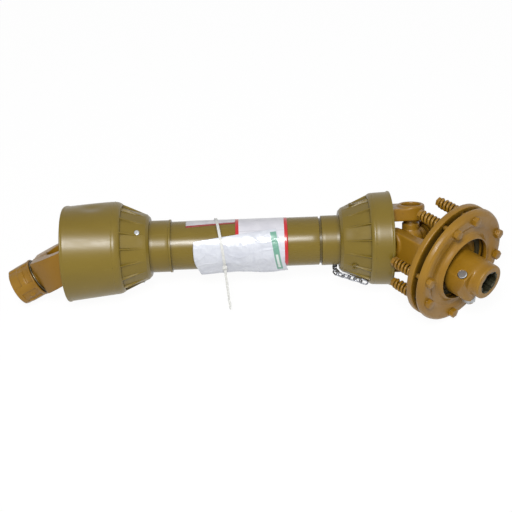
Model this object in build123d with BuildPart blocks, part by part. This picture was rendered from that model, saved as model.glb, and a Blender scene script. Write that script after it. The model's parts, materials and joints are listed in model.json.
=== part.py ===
from build123d import *
from math import atan, cos, degrees, radians, sin, sqrt
import os

# All lengths are millimetres. Every drive line piece is drawn with the left cross centre at
# the origin and +X along the shaft. Fork pieces are drawn round their own cross centre, with
# +X running from the cross to the far end of the piece.

# Drive line
cross_spacing = 508.0  # between the two cross centres with the shaft fully closed
closing_gap = 10.0  # outer drive tube to the right yoke hub when closed

# Pose on the floor, measured from the line of the shaft
left_droop = 27.4  # left yoke hangs about the cross pin that its arms hold
right_swing = -47.6  # clutch swings about the pin in the inner yoke
right_dip = 17.6  # clutch dips about the pin that its own arms hold

# Crosses and bearing caps
cap_radius = 15.1
cap_span = 92.0
cap_depth = 18.5
cap_floor = 3.0
cap_clearance = 0.02
journal_radius = 11.0
journal_clearance = 0.05
journal_end_gap = 0.3
cross_arm_radius = 13.5
cross_arm_gap = 3.5
cross_core_radius = 19.0
nipple_seat = 22.5
snap_ring_thickness = 2.0
snap_ring_grip = 1.3
snap_ring_width = 3.6
snap_ring_gap = 9.0

# Yoke forks
ear_radius = 21.5
ear_inner = 30.5
ear_outer = 53.6
ear_edge = 3.0
throat_depth = 59.0
inner_arm_half_width = 23.0
left_arm_half_width = 27.5
clutch_arm_half_width = 25.0

# Inner yokes
web_thickness = 8.0
left_hub_radius = 34.0
left_hub_end = 98.0
right_hub_radius = 30.5
right_hub_length = 94.0

# Three-lobed drive tubes
lobe_offset = 17.0
outer_lobe_radius = 10.0
outer_tube_wall = 3.5
inner_tube_wall = 3.2
tube_slip = 0.3
tube_seat = 0.05
roll_pin_radius = 5.0
roll_pin_wall = 1.5
roll_pin_seat = 0.03

# Guard tubes
guard_radius = 38.0
guard_wall = 2.5
guard_slip = 0.3
guard_seat = 0.1
inner_guard_start = 150.0

# Left guard bell
left_rim_x = -30.0
left_rim_radius = 82.0
left_shoulder_x = 47.0
left_shoulder_radius = 72.5
left_shoulder_round = 12.0
left_cone_tip_x = left_hub_end - 1.0
left_cone_tip_radius = 50.5
left_neck_end = left_cone_tip_x + 36.0
left_neck_radius = 40.6
left_lip_height = 0.9
left_lip_width = 3.0

# Right guard bell
right_rim_x = 474.5
right_rim_radius = 74.0
right_shoulder_x = 446.0
right_shoulder_radius = 71.5
right_shoulder_round = 7.0
right_cone_tip_x = cross_spacing - right_hub_length - 16.0
right_cone_tip_radius = 50.0
right_neck_start = right_cone_tip_x - 31.0
right_neck_radius = 38.9

outer_guard_end = right_neck_start - 4.0

# What the two bells share
cuff_wall = 2.5
cuff_bead = 1.2
cone_wall = 3.0
cone_skirt = 9.0
cone_drop = 4.0  # cone surface below the shoulder
rib_count = 16
rib_width = 2.4
rib_height = 3.4
rib_tip_gap = 4.0
bearing_width = 5.4
bearing_gap = 0.3
bearing_groove_depth = 3.0
bearing_groove_inset = 5.0
bearing_body = 16.0
bearing_clearance = 1.6
screw_count = 3
screw_radius = 2.2
screw_head_radius = 4.6
screw_head_height = 2.4
screw_length = 11.0
screw_sink = 1.2
screw_hole_gap = 0.3
screw_thread_seat = 0.05
screw_pad_radius = 6.0
left_screw_angle = 143.0
right_boss_angle = 213.3
boss_radius = 5.5
boss_height = 1.6

# Left outer yoke, its spline and its pull collar
spline_major = 17.5
spline_minor = 14.9
spline_groove = 8.8
left_yoke_end = 127.9
barrel_radius = 24.5
yoke_shoulder = 84.5
collar_radius = 29.8
collar_start = 90.5
collar_travel = 5.0
collar_bore_gap = 0.1
collar_chamber = 2.9
collar_chamber_length = 16.0
collar_spring_wire = 2.2
collar_spring_turns = 3
ball_count = 3
ball_radius = 4.8
ball_gap = 0.1
ball_tip_radius = 15.3
ball_station = 112.0
ball_lift = 2.4
grip_depth = 1.2
collar_ring_width = 1.8
collar_ring_grip = 1.2
collar_ring_rise = 1.9

# Friction clutch
flange_radius = 92.5
flange_back = 74.0
flange_front = 84.0
clutch_root_radius = 53.0
lining_thickness = 3.0
lining_inner = 44.0
plate_gap = 0.2
hub_plate_thickness = 3.6
ring_plate_thickness = 3.5
cover_wall = 4.0
cover_rim_radius = 93.0
cover_bead_x = 105.5
cover_lip_x = 110.0
cover_hole_radius = 50.0
bolt_circle_radius = cover_rim_radius - 12.6
cover_valley_radius = (cover_hole_radius + bolt_circle_radius) / 2 - 3.2
lining_outer = bolt_circle_radius - 7.4
hub_plate_radius = lining_outer - 2.0
bolt_radius = 4.0
bolt_hole_gap = 0.3
bolt_spread = 15.0
bolt_phase = 19.3
bolt_head_width = 13.0
bolt_head_height = 7.0
bolt_tip_x = 34.0
nut_inner_x = 35.0
nut_height = 6.5
spring_radius = 8.8
spring_wire = 4.4
spring_turns = 4.5
spring_gap = 0.1

# Clutch hub
hub_end = 155.2
hub_radius = 28.2
hub_nose_radius = 27.5
hub_spigot_radius = 32.0
hub_spigot_start = 76.5
hub_bush_wall = 3.0
hub_bush_gap = 0.05
lug_start = 97.0
lug_end = 139.0
lug_crown_radius = 41.0
lug_half_length = 28.0
lug_corner = 12.0
lug_angle = -142.0  # direction from the hub axis to the lug's crown
pin_offset = 22.4
pin_station = 128.0
pin_radius = 7.0
pin_seat = 0.03
pin_nut_width = 19.0
pin_nut_height = 8.0
pin_washer_radius = 11.0
pin_washer_thickness = 2.0

# Papers, strap and chain on the guard
label_thickness = 0.3
label_start = 233.5
label_end = 314.0
label_from = 60.0
label_to = 236.0
tape_start = 157.0
tape_to = 112.0
pouch_thickness = 1.2
pouch_start = 168.4
pouch_end = 313.7
pouch_from = 133.0
pouch_to = 224.5
pouch_hem = 22.0
pouch_view_angle = 190.0
pouch_left_angle = 159.0
pouch_top_end = 296.4
pouch_left_slant = 16.0
tie_slot_shift = 6.2
tie_station = 208.5
tie_slant_y = 6.1
tie_slant_z = 6.7
tie_gap = 0.05
tie_slot = 16.0
tie_width = 4.6
tie_thickness = 1.3
tie_head = 7.6
tie_head_angle = 227.0
tie_tail = 66.0
tie_tail_out = 2.0
tie_tail_lean = 0.09
chain_wire = 2.4
link_length = 15.5
link_width = 10.0
link_play = 1.2
chain_angle = -112.5
chain_neck_x = right_cone_tip_x - 9.5
chain_far_angle = 50.0
chain_end_x = 438.0


# Repeated outlines


def across(x):
    """Plane square to the X axis at station x."""
    return Plane.YZ.offset(x)


def draw_lobes(lobe_radius):
    """Three-lobed tube section."""
    with PolarLocations(lobe_offset, 3, start_angle=90):
        Circle(lobe_radius)
    make_hull()


def draw_spline():
    """Six-spline bore section for a 1 3/8 inch shaft."""
    with PolarLocations(0, 3, angular_range=180):
        Rectangle(2 * spline_major, spline_groove)
    Circle(spline_major, mode=Mode.INTERSECT)
    Circle(spline_minor)


def draw_arc_strip(inner, outer, start, end):
    """Part of a ring between two angles."""
    with BuildSketch(mode=Mode.PRIVATE) as strip:
        with BuildLine():
            low = CenterArc((0, 0), inner, start, end - start)
            high = CenterArc((0, 0), outer, start, end - start)
            Line(low @ 0, high @ 0)
            Line(low @ 1, high @ 1)
        make_face()
    add(strip.sketch_local)


def around(radius, angle, x=0.0):
    """Place at an angle round the X axis, local X pointing outwards and local Z along +X."""
    place = Vector(x, radius * cos(radians(angle)), radius * sin(radians(angle)))
    return Plane(origin=place, x_dir=(0, cos(radians(angle)), sin(radians(angle))), z_dir=(1, 0, 0))


def outward(radius, angle, x=0.0):
    """Plane square to a radius of the X axis, facing outwards."""
    spoke = (0, cos(radians(angle)), sin(radians(angle)))
    return Plane(origin=(x, radius * spoke[1], radius * spoke[2]), x_dir=(1, 0, 0), z_dir=spoke)


# Forks


def fork(side, top, root_x, root_radius, root_half_width, hub_radius):
    """Two ears joined by a web, drawn with the ears either side of the top plane."""
    arm_outer = ear_outer - ear_edge
    with BuildPart() as body:
        with BuildSketch(side):
            with BuildLine():
                Line((-ear_radius, 0), (-ear_radius, ear_outer))
                Line((-ear_radius, ear_outer), (ear_radius, ear_outer))
                Line((ear_radius, ear_outer), (ear_radius, arm_outer))
                face = Line((ear_radius, arm_outer), (0.45 * throat_depth, arm_outer))
                flank = TangentArc(face @ 1, (root_x, root_radius), tangent=face % 1)
                Line(flank @ 1, (root_x, 0))
                mirror(about=Plane.XZ)
            make_face()
            throat_centre = throat_depth - ear_inner
            with Locations(((throat_centre - 2 * ear_radius) / 2, 0)):
                Rectangle(throat_centre + 2 * ear_radius, 2 * ear_inner, mode=Mode.SUBTRACT)
            with Locations((throat_centre, 0)):
                Circle(ear_inner, mode=Mode.SUBTRACT)
        extrude(amount=ear_outer, both=True)
        with BuildSketch(top):
            with Locations((0, 0)):
                Circle(ear_radius)
            with Locations((root_x, 0)):
                Circle(root_half_width)
            make_hull()
        extrude(amount=2 * ear_outer, both=True, mode=Mode.INTERSECT)
        for flip in (1, -1):
            with BuildSketch(side):
                with BuildLine():
                    crown = Line((ear_radius - ear_edge, flip * ear_outer), (2 * ear_radius, flip * ear_outer))
                    rise = Line(crown @ 1, (2 * ear_radius, flip * arm_outer))
                    shelf = Line(rise @ 1, (ear_radius, flip * arm_outer))
                    RadiusArc(shelf @ 1, crown @ 0, -flip * ear_edge)
                make_face()
            revolve(axis=Axis((0, 0, 0), top.z_dir), mode=Mode.SUBTRACT)
        with BuildSketch(across(throat_depth)):
            Circle(hub_radius)
        extrude(amount=root_x - throat_depth)
        with BuildSketch(top):
            Circle(cap_radius + cap_clearance)
        extrude(amount=2 * ear_outer, both=True, mode=Mode.SUBTRACT)
        for flip in (1, -1):
            with BuildSketch(top.offset(flip * cap_span / 2)):
                Circle(cap_radius + snap_ring_grip)
            extrude(amount=flip * snap_ring_thickness, mode=Mode.SUBTRACT)
    return body


def cross(name):
    """Forged cross with four journals, turning inside the bearing caps."""
    reach = cap_span / 2 - cap_floor - journal_end_gap
    with BuildPart() as body:
        Sphere(cross_core_radius)
        for plane in (Plane.XY, Plane.XZ):
            with BuildSketch(plane):
                Circle(cross_arm_radius)
            extrude(amount=cap_span / 2 - cap_depth - cross_arm_gap, both=True)
            with BuildSketch(plane):
                Circle(journal_radius)
            extrude(amount=reach, both=True)
    body.part.label = name
    return body


def caps(name, plane):
    """Pair of bearing cups pressed into opposite ears."""
    with BuildPart() as pair:
        for flip in (1, -1):
            with BuildSketch(plane.offset(flip * (cap_span / 2 - cap_depth))):
                Circle(cap_radius)
            extrude(amount=flip * cap_depth)
        with BuildSketch(plane):
            Circle(journal_radius + journal_clearance)
        extrude(amount=cap_span / 2 - cap_floor, both=True, mode=Mode.SUBTRACT)
    pair.part.label = name
    return pair


def snap_rings(name, plane):
    """Pair of open rings that hold the cups in."""
    with BuildPart() as pair:
        for flip in (1, -1):
            with BuildSketch(plane.offset(flip * cap_span / 2)):
                Circle(cap_radius + snap_ring_grip - cap_clearance)
                Circle(cap_radius + snap_ring_grip - snap_ring_width, mode=Mode.SUBTRACT)
                with Locations((cap_radius, 0)):
                    Rectangle(2 * snap_ring_width, snap_ring_gap, mode=Mode.SUBTRACT)
            extrude(amount=flip * snap_ring_thickness)
    pair.part.label = name
    return pair


def nipple(name):
    """Grease nipple screwed into the cross body between two arms."""
    slant = Plane(origin=(0, 0, 0), x_dir=(1, 0, 0), z_dir=(0, 1, 1))
    with BuildPart() as fitting:
        with BuildSketch(slant.offset(nipple_seat)):
            RegularPolygon(4.0, 6)
        extrude(amount=3.0)
        with BuildSketch(slant.offset(nipple_seat + 3.0)):
            Circle(2.6)
        extrude(amount=4.0, taper=12)
        with BuildSketch(slant.offset(nipple_seat + 7.0)):
            Circle(2.4)
        extrude(amount=2.4)
        chamfer(fitting.faces().sort_by(Axis((0, 0, 0), (0, 1, 1)))[-1].edges(), 0.8)
    fitting.part.label = name
    return fitting


def cross_seat(body):
    """Flat that the grease nipple sits on."""
    with BuildPart() as seated:
        add(body.part)
        slant = Plane(origin=(0, 0, 0), x_dir=(1, 0, 0), z_dir=(0, 1, 1))
        with BuildSketch(slant.offset(cross_core_radius - 3.0)):
            Circle(5.5)
        extrude(amount=nipple_seat - cross_core_radius + 3.0)
    seated.part.label = body.part.label
    return seated


left_cross = cross_seat(cross("left_cross"))
right_cross = cross_seat(cross("right_cross"))
left_grease_nipple = nipple("left_grease_nipple")
right_grease_nipple = nipple("right_grease_nipple")
left_inner_caps = caps("left_inner_caps", Plane.XY)
left_outer_caps = caps("left_outer_caps", Plane.XZ)
right_inner_caps = caps("right_inner_caps", Plane.XY)
right_outer_caps = caps("right_outer_caps", Plane.XZ)
left_inner_snap_rings = snap_rings("left_inner_snap_rings", Plane.XY)
left_outer_snap_rings = snap_rings("left_outer_snap_rings", Plane.XZ)
right_inner_snap_rings = snap_rings("right_inner_snap_rings", Plane.XY)
right_outer_snap_rings = snap_rings("right_outer_snap_rings", Plane.XZ)

# Inner yokes, with the ears above and below the shaft

tube_seat_x = throat_depth + web_thickness
left_groove_x = left_hub_end - bearing_groove_inset - bearing_width - 2 * bearing_gap
right_groove_x = right_hub_length - bearing_groove_inset - bearing_width - 2 * bearing_gap


def inner_yoke(name, hub_radius, hub_end, groove_x, lobe_radius, pin_x):
    """Fork with a hub that takes a drive tube, a cross pin and the guard bearing."""
    blank = fork(
        Plane.XZ, Plane.XY, tube_seat_x, hub_radius, inner_arm_half_width, hub_radius
    )
    with BuildPart() as yoke:
        add(blank.part)
        with BuildSketch(across(tube_seat_x - web_thickness / 2)):
            Circle(hub_radius)
        extrude(amount=hub_end - tube_seat_x + web_thickness / 2)
        chamfer(yoke.faces().sort_by(Axis.X)[-1].outer_wire().edges(), 1.5)
        with BuildSketch(across(tube_seat_x)):
            draw_lobes(lobe_radius + tube_seat)
        extrude(amount=hub_end, mode=Mode.SUBTRACT)
        with BuildSketch(across(groove_x)):
            Circle(2 * hub_radius)
            Circle(hub_radius - bearing_groove_depth, mode=Mode.SUBTRACT)
        extrude(amount=bearing_width + 2 * bearing_gap, mode=Mode.SUBTRACT)
        with BuildSketch(Plane.XY):
            with Locations((pin_x, 0)):
                Circle(roll_pin_radius + roll_pin_seat)
        extrude(amount=2 * hub_radius, both=True, mode=Mode.SUBTRACT)
    yoke.part.label = name
    return yoke


left_pin_x = tube_seat_x + 9.0
right_pin_x = tube_seat_x + 8.0
inner_lobe_radius = outer_lobe_radius - outer_tube_wall - tube_slip
left_inner_yoke = inner_yoke(
    "left_inner_yoke", left_hub_radius, left_hub_end, left_groove_x, outer_lobe_radius, left_pin_x
)
right_inner_yoke = inner_yoke(
    "right_inner_yoke", right_hub_radius, right_hub_length, right_groove_x, inner_lobe_radius, right_pin_x
)


def drive_tube(name, start, end, lobe_radius, wall, pin_x):
    """Three-lobed tube with a hole for its roll pin."""
    with BuildPart() as tube:
        with BuildSketch(across(start)):
            draw_lobes(lobe_radius)
        extrude(amount=end - start)
        with BuildSketch(across(start)):
            draw_lobes(lobe_radius - wall)
        extrude(amount=end - start, mode=Mode.SUBTRACT)
        with BuildSketch(Plane.XY):
            with Locations((pin_x, 0)):
                Circle(roll_pin_radius + roll_pin_seat)
        extrude(amount=2 * guard_radius, both=True, mode=Mode.SUBTRACT)
    tube.part.label = name
    return tube


right_hub_face = cross_spacing - right_hub_length
outer_drive_tube = drive_tube(
    "outer_drive_tube",
    tube_seat_x + tube_seat,
    right_hub_face - closing_gap,
    outer_lobe_radius,
    outer_tube_wall,
    left_pin_x,
)
inner_drive_tube = drive_tube(
    "inner_drive_tube",
    left_pin_x + 4 * roll_pin_radius,
    cross_spacing - tube_seat_x - tube_seat,
    inner_lobe_radius,
    inner_tube_wall,
    cross_spacing - right_pin_x,
)


def roll_pin(name, x, length):
    """Slotted spring pin through hub and tube."""
    with BuildPart() as pin:
        with BuildSketch(Plane.XY):
            with Locations((x, 0)):
                Circle(roll_pin_radius)
                Circle(roll_pin_radius - roll_pin_wall, mode=Mode.SUBTRACT)
            with Locations((x + roll_pin_radius, 0)):
                Rectangle(2 * roll_pin_wall + 1, roll_pin_wall, mode=Mode.SUBTRACT)
        extrude(amount=length / 2, both=True)
    pin.part.label = name
    return pin


left_roll_pin = roll_pin("left_roll_pin", left_pin_x, 2 * left_hub_radius - 6)
right_roll_pin = roll_pin("right_roll_pin", cross_spacing - right_pin_x, 2 * right_hub_radius - 6)

# Left outer yoke, with the arms either side of the shaft

left_fork = fork(
    Plane.XY, Plane.XZ, yoke_shoulder, barrel_radius + 3.5, left_arm_half_width, barrel_radius + 3.5
)
with BuildPart() as left_outer_yoke:
    add(left_fork.part)
    with BuildSketch(across(yoke_shoulder - 1)):
        Circle(barrel_radius)
    extrude(amount=left_yoke_end - yoke_shoulder + 1)
    chamfer(left_outer_yoke.faces().sort_by(Axis.X)[-1].edges(), 1.0)
    with BuildSketch(across(throat_depth - 10)):
        draw_spline()
    extrude(amount=left_yoke_end, mode=Mode.SUBTRACT)
    for n in range(ball_count):
        with BuildSketch(outward(0, 90 + n * 360 / ball_count, ball_station)):
            Circle(ball_radius + ball_gap)
        extrude(amount=2 * barrel_radius, mode=Mode.SUBTRACT)
    ring_x = left_yoke_end - collar_ring_width - 2.0
    with BuildSketch(across(ring_x)):
        Circle(2 * barrel_radius)
        Circle(barrel_radius - collar_ring_grip, mode=Mode.SUBTRACT)
    extrude(amount=collar_ring_width, mode=Mode.SUBTRACT)
left_outer_yoke.part.label = "left_outer_yoke"

with BuildPart() as collar_retaining_ring:
    with BuildSketch(across(ring_x)):
        Circle(barrel_radius + collar_ring_rise)
        Circle(barrel_radius - collar_ring_grip, mode=Mode.SUBTRACT)
        with Locations((0, -barrel_radius)):
            Rectangle(6, 8, mode=Mode.SUBTRACT)
    extrude(amount=collar_ring_width)
collar_retaining_ring.part.label = "collar_retaining_ring"

ball_centre = ball_tip_radius + ball_radius
locking_balls = []
for n in range(ball_count):
    with BuildPart(outward(ball_centre, 90 + n * 360 / ball_count, ball_station)) as locking_ball:
        Sphere(ball_radius)
    locking_ball.part.label = f"locking_ball_{n + 1}"
    locking_balls.append(locking_ball)

# Pull collar: the ramp in its bore backs the balls, and lets them out as it slides

ramp_slope = ball_lift / collar_travel
ball_room = ball_radius + bearing_gap
ramp_x = ball_station - ball_room * sin(atan(ramp_slope))
ramp_radius = ball_centre + ball_room * cos(atan(ramp_slope))
ramp_top = ball_centre + ball_lift + ball_room
chamber_radius = barrel_radius + collar_chamber
with BuildPart() as pull_collar:
    with BuildSketch(Plane.XZ):
        with BuildLine():
            ring_top = collar_radius + 0.7
            Polyline(
                (collar_start, chamber_radius),
                (collar_start, ring_top - 1),
                (collar_start + 1, ring_top),
                (collar_start + 3, ring_top),
                (collar_start + 4, collar_radius),
                (left_yoke_end - 1.2, collar_radius),
                (left_yoke_end, collar_radius - 1.2),
                (left_yoke_end, chamber_radius - 0.9),
                (ring_x - 0.4, chamber_radius - 0.9),
                (ring_x - 0.4, barrel_radius + collar_bore_gap),
                (collar_start + collar_chamber_length, barrel_radius + collar_bore_gap),
                (collar_start + collar_chamber_length, chamber_radius),
                close=True,
            )
        make_face()
    revolve(axis=Axis.X)
    with BuildSketch(Plane.XZ):
        with BuildLine():
            Polyline(
                (ramp_x, ramp_radius),
                (ramp_x + (ramp_top - ramp_radius) / ramp_slope, ramp_top),
                (ring_x - 1.6, ramp_top),
                (ring_x - 1.6, barrel_radius - 1),
                (ramp_x, barrel_radius - 1),
                close=True,
            )
        make_face()
    revolve(axis=Axis.X, mode=Mode.SUBTRACT)
    for n in range(4):
        with BuildSketch(outward(collar_radius - grip_depth, 90 * n + 150, collar_start + 13)):
            SlotOverall(15, 9)
        extrude(amount=5, mode=Mode.SUBTRACT)
        with BuildSketch(outward(collar_radius - grip_depth, 90 * n + 195, left_yoke_end - 3)):
            RectangleRounded(15, 17, 3)
        extrude(amount=5, mode=Mode.SUBTRACT)
pull_collar.part.label = "pull_collar"

with BuildPart() as collar_spring:
    coil_radius = barrel_radius + collar_chamber / 2
    coil_start = yoke_shoulder + spring_gap + collar_spring_wire / 2
    coil_end = collar_start + collar_chamber_length - collar_travel - 2 * spring_gap - collar_spring_wire / 2
    coil_height = coil_end - coil_start
    with BuildLine():
        coil = Helix(
            coil_height / collar_spring_turns,
            coil_height,
            coil_radius,
            center=(coil_start, 0, 0),
            direction=(1, 0, 0),
        )
    with BuildSketch(Plane(origin=coil @ 0, z_dir=coil % 0)):
        Circle(collar_spring_wire / 2)
    sweep(is_frenet=True)
collar_spring.part.label = "collar_spring"

# Guard bells


def cone_surface(x, tip_x, tip_radius, big_x, big_radius):
    """Outer radius of a cone between its ribs at station x."""
    share = (x - tip_x) / (big_x - tip_x)
    return tip_radius + share * (big_radius - cone_drop - tip_radius)


def bell_cone(name, cone, shoulder_round, neck_x, neck_radius, tube_radius, lip):
    """Ribbed cone with a neck that grips a guard tube and a skirt that carries the cuff."""
    tip_x, tip_radius, big_x, big_radius = cone
    way = 1 if big_x < tip_x else -1
    neck_bore = tube_radius + guard_seat
    step_x = tip_x + way * 3.5
    skirt_radius = big_radius - cuff_wall - guard_seat
    rib_start = big_x + way * (shoulder_round + bearing_gap)
    rib_end = tip_x - way * rib_tip_gap
    start_radius = cone_surface(rib_start, *cone)
    end_radius = cone_surface(rib_end, *cone)
    with BuildPart() as body:
        with BuildSketch(Plane.XZ):
            with BuildLine():
                Polyline(
                    (big_x - way * cone_skirt, skirt_radius),
                    (big_x, skirt_radius),
                    (big_x, big_radius - cone_drop),
                    (tip_x, tip_radius),
                    (step_x, tip_radius - 4.0),
                    (step_x, neck_radius),
                    (neck_x, neck_radius),
                    (neck_x, neck_bore),
                    (tip_x + way * 1.0, neck_bore),
                    (tip_x + way * 1.0, tip_radius - 4.5),
                    (tip_x, tip_radius - cone_wall),
                    (big_x, big_radius - cone_drop - cone_wall),
                    (big_x - way * cone_skirt, skirt_radius - cone_wall),
                    close=True,
                )
            make_face()
        revolve(axis=Axis.X)
        if lip:
            with BuildSketch(across(neck_x - way * left_lip_width)):
                Circle(neck_radius + left_lip_height)
                Circle(neck_radius - 1, mode=Mode.SUBTRACT)
            extrude(amount=way * left_lip_width)
        for n in range(rib_count):
            wall = around(0, 360 * n / rib_count + 180 / rib_count)
            rib_plane = Plane(origin=(0, 0, 0), x_dir=(1, 0, 0), z_dir=wall.y_dir)
            out = 1 if rib_plane.y_dir.dot(wall.x_dir) > 0 else -1
            with BuildSketch(rib_plane):
                with BuildLine():
                    Polyline(
                        (rib_start, out * (start_radius - 1)),
                        (rib_start, out * (start_radius + rib_height)),
                        (rib_end, out * (end_radius + 0.05)),
                        (rib_end, out * (end_radius - 1)),
                        close=True,
                    )
                make_face()
            extrude(amount=rib_width / 2, both=True)
    body.part.label = name
    return body


def bell_cuff(name, rim_x, rim_radius, cone, shoulder_round):
    """Smooth flared cup pushed over the cone's skirt, its shoulder rounded down to the cone."""
    tip_x, tip_radius, shoulder_x, shoulder_radius = cone
    way = 1 if rim_x < shoulder_x else -1
    flare = (rim_radius - shoulder_radius) / abs(shoulder_x - rim_x)
    seat_x = shoulder_x - way * (cone_skirt + 1)
    seat_radius = shoulder_radius - cuff_wall
    foot_x = shoulder_x + way * shoulder_round
    foot_radius = cone_surface(foot_x, *cone) + guard_seat
    foot_drop = shoulder_radius - foot_radius - 1.0
    with BuildPart() as cuff:
        with BuildSketch(Plane.XZ):
            with BuildLine():
                Polyline(
                    (rim_x, rim_radius - cuff_wall),
                    (rim_x, rim_radius),
                    (rim_x + way * 2.5, rim_radius),
                    (rim_x + way * 4.0, rim_radius - cuff_bead),
                    (shoulder_x - way * 6, shoulder_radius + 6 * flare),
                    (shoulder_x, shoulder_radius),
                    (shoulder_x + way * 0.4 * shoulder_round, shoulder_radius - 0.14 * foot_drop),
                    (shoulder_x + way * 0.75 * shoulder_round, shoulder_radius - 0.46 * foot_drop),
                    (shoulder_x + way * 0.94 * shoulder_round, shoulder_radius - 0.78 * foot_drop),
                    (foot_x, shoulder_radius - foot_drop),
                    (foot_x, foot_radius),
                    (shoulder_x, seat_radius),
                    (seat_x, seat_radius),
                    (rim_x + way * 4.0, rim_radius - cuff_bead - cuff_wall),
                    close=True,
                )
            make_face()
        revolve(axis=Axis.X)
    cuff.part.label = name
    return cuff


outer_guard_radius = guard_radius
inner_guard_radius = guard_radius - guard_wall - guard_slip
left_cone = (left_cone_tip_x, left_cone_tip_radius, left_shoulder_x, left_shoulder_radius)
right_cone = (right_cone_tip_x, right_cone_tip_radius, right_shoulder_x, right_shoulder_radius)
left_guard_cone = bell_cone(
    "left_guard_cone",
    left_cone,
    left_shoulder_round,
    left_neck_end,
    left_neck_radius,
    outer_guard_radius,
    True,
)
right_guard_cone = bell_cone(
    "right_guard_cone",
    right_cone,
    right_shoulder_round,
    right_neck_start,
    right_neck_radius,
    inner_guard_radius,
    False,
)
left_guard_cuff = bell_cuff(
    "left_guard_cuff", left_rim_x, left_rim_radius, left_cone, left_shoulder_round
)
right_guard_cuff = bell_cuff(
    "right_guard_cuff", right_rim_x, right_rim_radius, right_cone, right_shoulder_round
)


def guard_tube(name, start, end, radius):
    """Plain round guard tube."""
    with BuildPart() as tube:
        with BuildSketch(across(start)):
            Circle(radius)
            Circle(radius - guard_wall, mode=Mode.SUBTRACT)
        extrude(amount=end - start)
    tube.part.label = name
    return tube


outer_guard_tube = guard_tube(
    "outer_guard_tube", left_cone_tip_x + 4.0, outer_guard_end, outer_guard_radius
)
inner_guard_tube = guard_tube(
    "inner_guard_tube", inner_guard_start, right_cone_tip_x - 4.0, inner_guard_radius
)


def guard_bearing(name, groove_x, hub_radius, cone, first_angle, drilled):
    """Nylon ring that runs in the yoke groove, with pads that the cone is held to."""
    tip_x, tip_radius, big_x, big_radius = cone
    bore = hub_radius - bearing_groove_depth + bearing_gap
    ring_start = groove_x + bearing_gap
    body_start = ring_start - bearing_body + bearing_width
    body_radius = tip_radius - cone_wall - bearing_clearance
    pad_x = body_start + screw_pad_radius + 1.0
    seat = cone_wall + guard_seat + bearing_gap
    with BuildPart() as ring:
        with BuildSketch(across(ring_start)):
            Circle(body_radius)
            Circle(bore, mode=Mode.SUBTRACT)
        extrude(amount=bearing_width)
        with BuildSketch(across(body_start)):
            Circle(body_radius)
            Circle(hub_radius + 2 * bearing_gap, mode=Mode.SUBTRACT)
        extrude(amount=bearing_body)
        for n in range(screw_count):
            with BuildSketch(outward(hub_radius + 4, first_angle + n * 360 / screw_count, pad_x)):
                Circle(screw_pad_radius)
            extrude(amount=big_radius - hub_radius)
        with BuildSketch(Plane.XZ):
            with BuildLine():
                Polyline(
                    (tip_x, tip_radius - seat),
                    (big_x, big_radius - cone_drop - seat),
                    (big_x, 2 * big_radius),
                    (tip_x, 2 * big_radius),
                    close=True,
                )
            make_face()
        revolve(axis=Axis.X, mode=Mode.SUBTRACT)
        for n in range(screw_count if drilled else 0):
            with BuildSketch(outward(hub_radius + 5, first_angle + n * 360 / screw_count, pad_x)):
                Circle(screw_radius)
            extrude(amount=big_radius, mode=Mode.SUBTRACT)
    ring.part.label = name
    return ring, pad_x


left_guard_bearing, left_pad_x = guard_bearing(
    "left_guard_bearing", left_groove_x, left_hub_radius, left_cone, left_screw_angle, True
)
right_guard_bearing, right_pad_x = guard_bearing(
    "right_guard_bearing",
    cross_spacing - right_groove_x - bearing_width - 2 * bearing_gap,
    right_hub_radius,
    right_cone,
    right_boss_angle,
    False,
)

# Guard screws and moulded bosses

screw_spots = [left_screw_angle + n * 360 / screw_count for n in range(screw_count)]
left_screw_seat = cone_surface(left_pad_x, *left_cone)
with BuildPart() as drilled_left_cone:
    add(left_guard_cone.part)
    for angle in screw_spots:
        with BuildSketch(outward(left_screw_seat - 6, angle, left_pad_x)):
            Circle(screw_radius + screw_hole_gap)
        extrude(amount=12, mode=Mode.SUBTRACT)
        with BuildSketch(outward(left_screw_seat - screw_sink, angle, left_pad_x)):
            Circle(screw_head_radius + screw_hole_gap)
        extrude(amount=12, mode=Mode.SUBTRACT)
drilled_left_cone.part.label = "left_guard_cone"
left_guard_cone = drilled_left_cone

with BuildPart() as left_guard_screws:
    for angle in screw_spots:
        with BuildSketch(outward(left_screw_seat - screw_sink, angle, left_pad_x)):
            Circle(screw_head_radius)
        extrude(amount=screw_head_height)
        with BuildSketch(outward(left_screw_seat - screw_sink - screw_length, angle, left_pad_x)):
            Circle(screw_radius - screw_thread_seat)
        extrude(amount=screw_length)
left_guard_screws.part.label = "left_guard_screws"

boss_seat = cone_surface(right_pad_x, *right_cone)
with BuildPart() as bossed_right_cone:
    add(right_guard_cone.part)
    for n in range(screw_count):
        angle = right_boss_angle + n * 360 / screw_count
        with BuildSketch(outward(boss_seat - cone_wall, angle, right_pad_x)):
            Circle(boss_radius)
        extrude(amount=cone_wall + boss_height)
        with BuildSketch(outward(boss_seat - 1.0, angle, right_pad_x)):
            Circle(boss_radius - 2.2)
        extrude(amount=4 * boss_height, mode=Mode.SUBTRACT)
    with BuildSketch(Plane.XZ):
        with BuildLine():
            Polyline(
                (right_cone_tip_x, 0),
                (right_cone_tip_x, right_cone_tip_radius - cone_wall),
                (right_shoulder_x, right_shoulder_radius - cone_drop - cone_wall),
                (right_shoulder_x, 0),
                close=True,
            )
        make_face()
    revolve(axis=Axis.X, mode=Mode.SUBTRACT)
bossed_right_cone.part.label = "right_guard_cone"
right_guard_cone = bossed_right_cone

# Friction clutch: flange yoke, linings, pressure ring and the pressed cover

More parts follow.
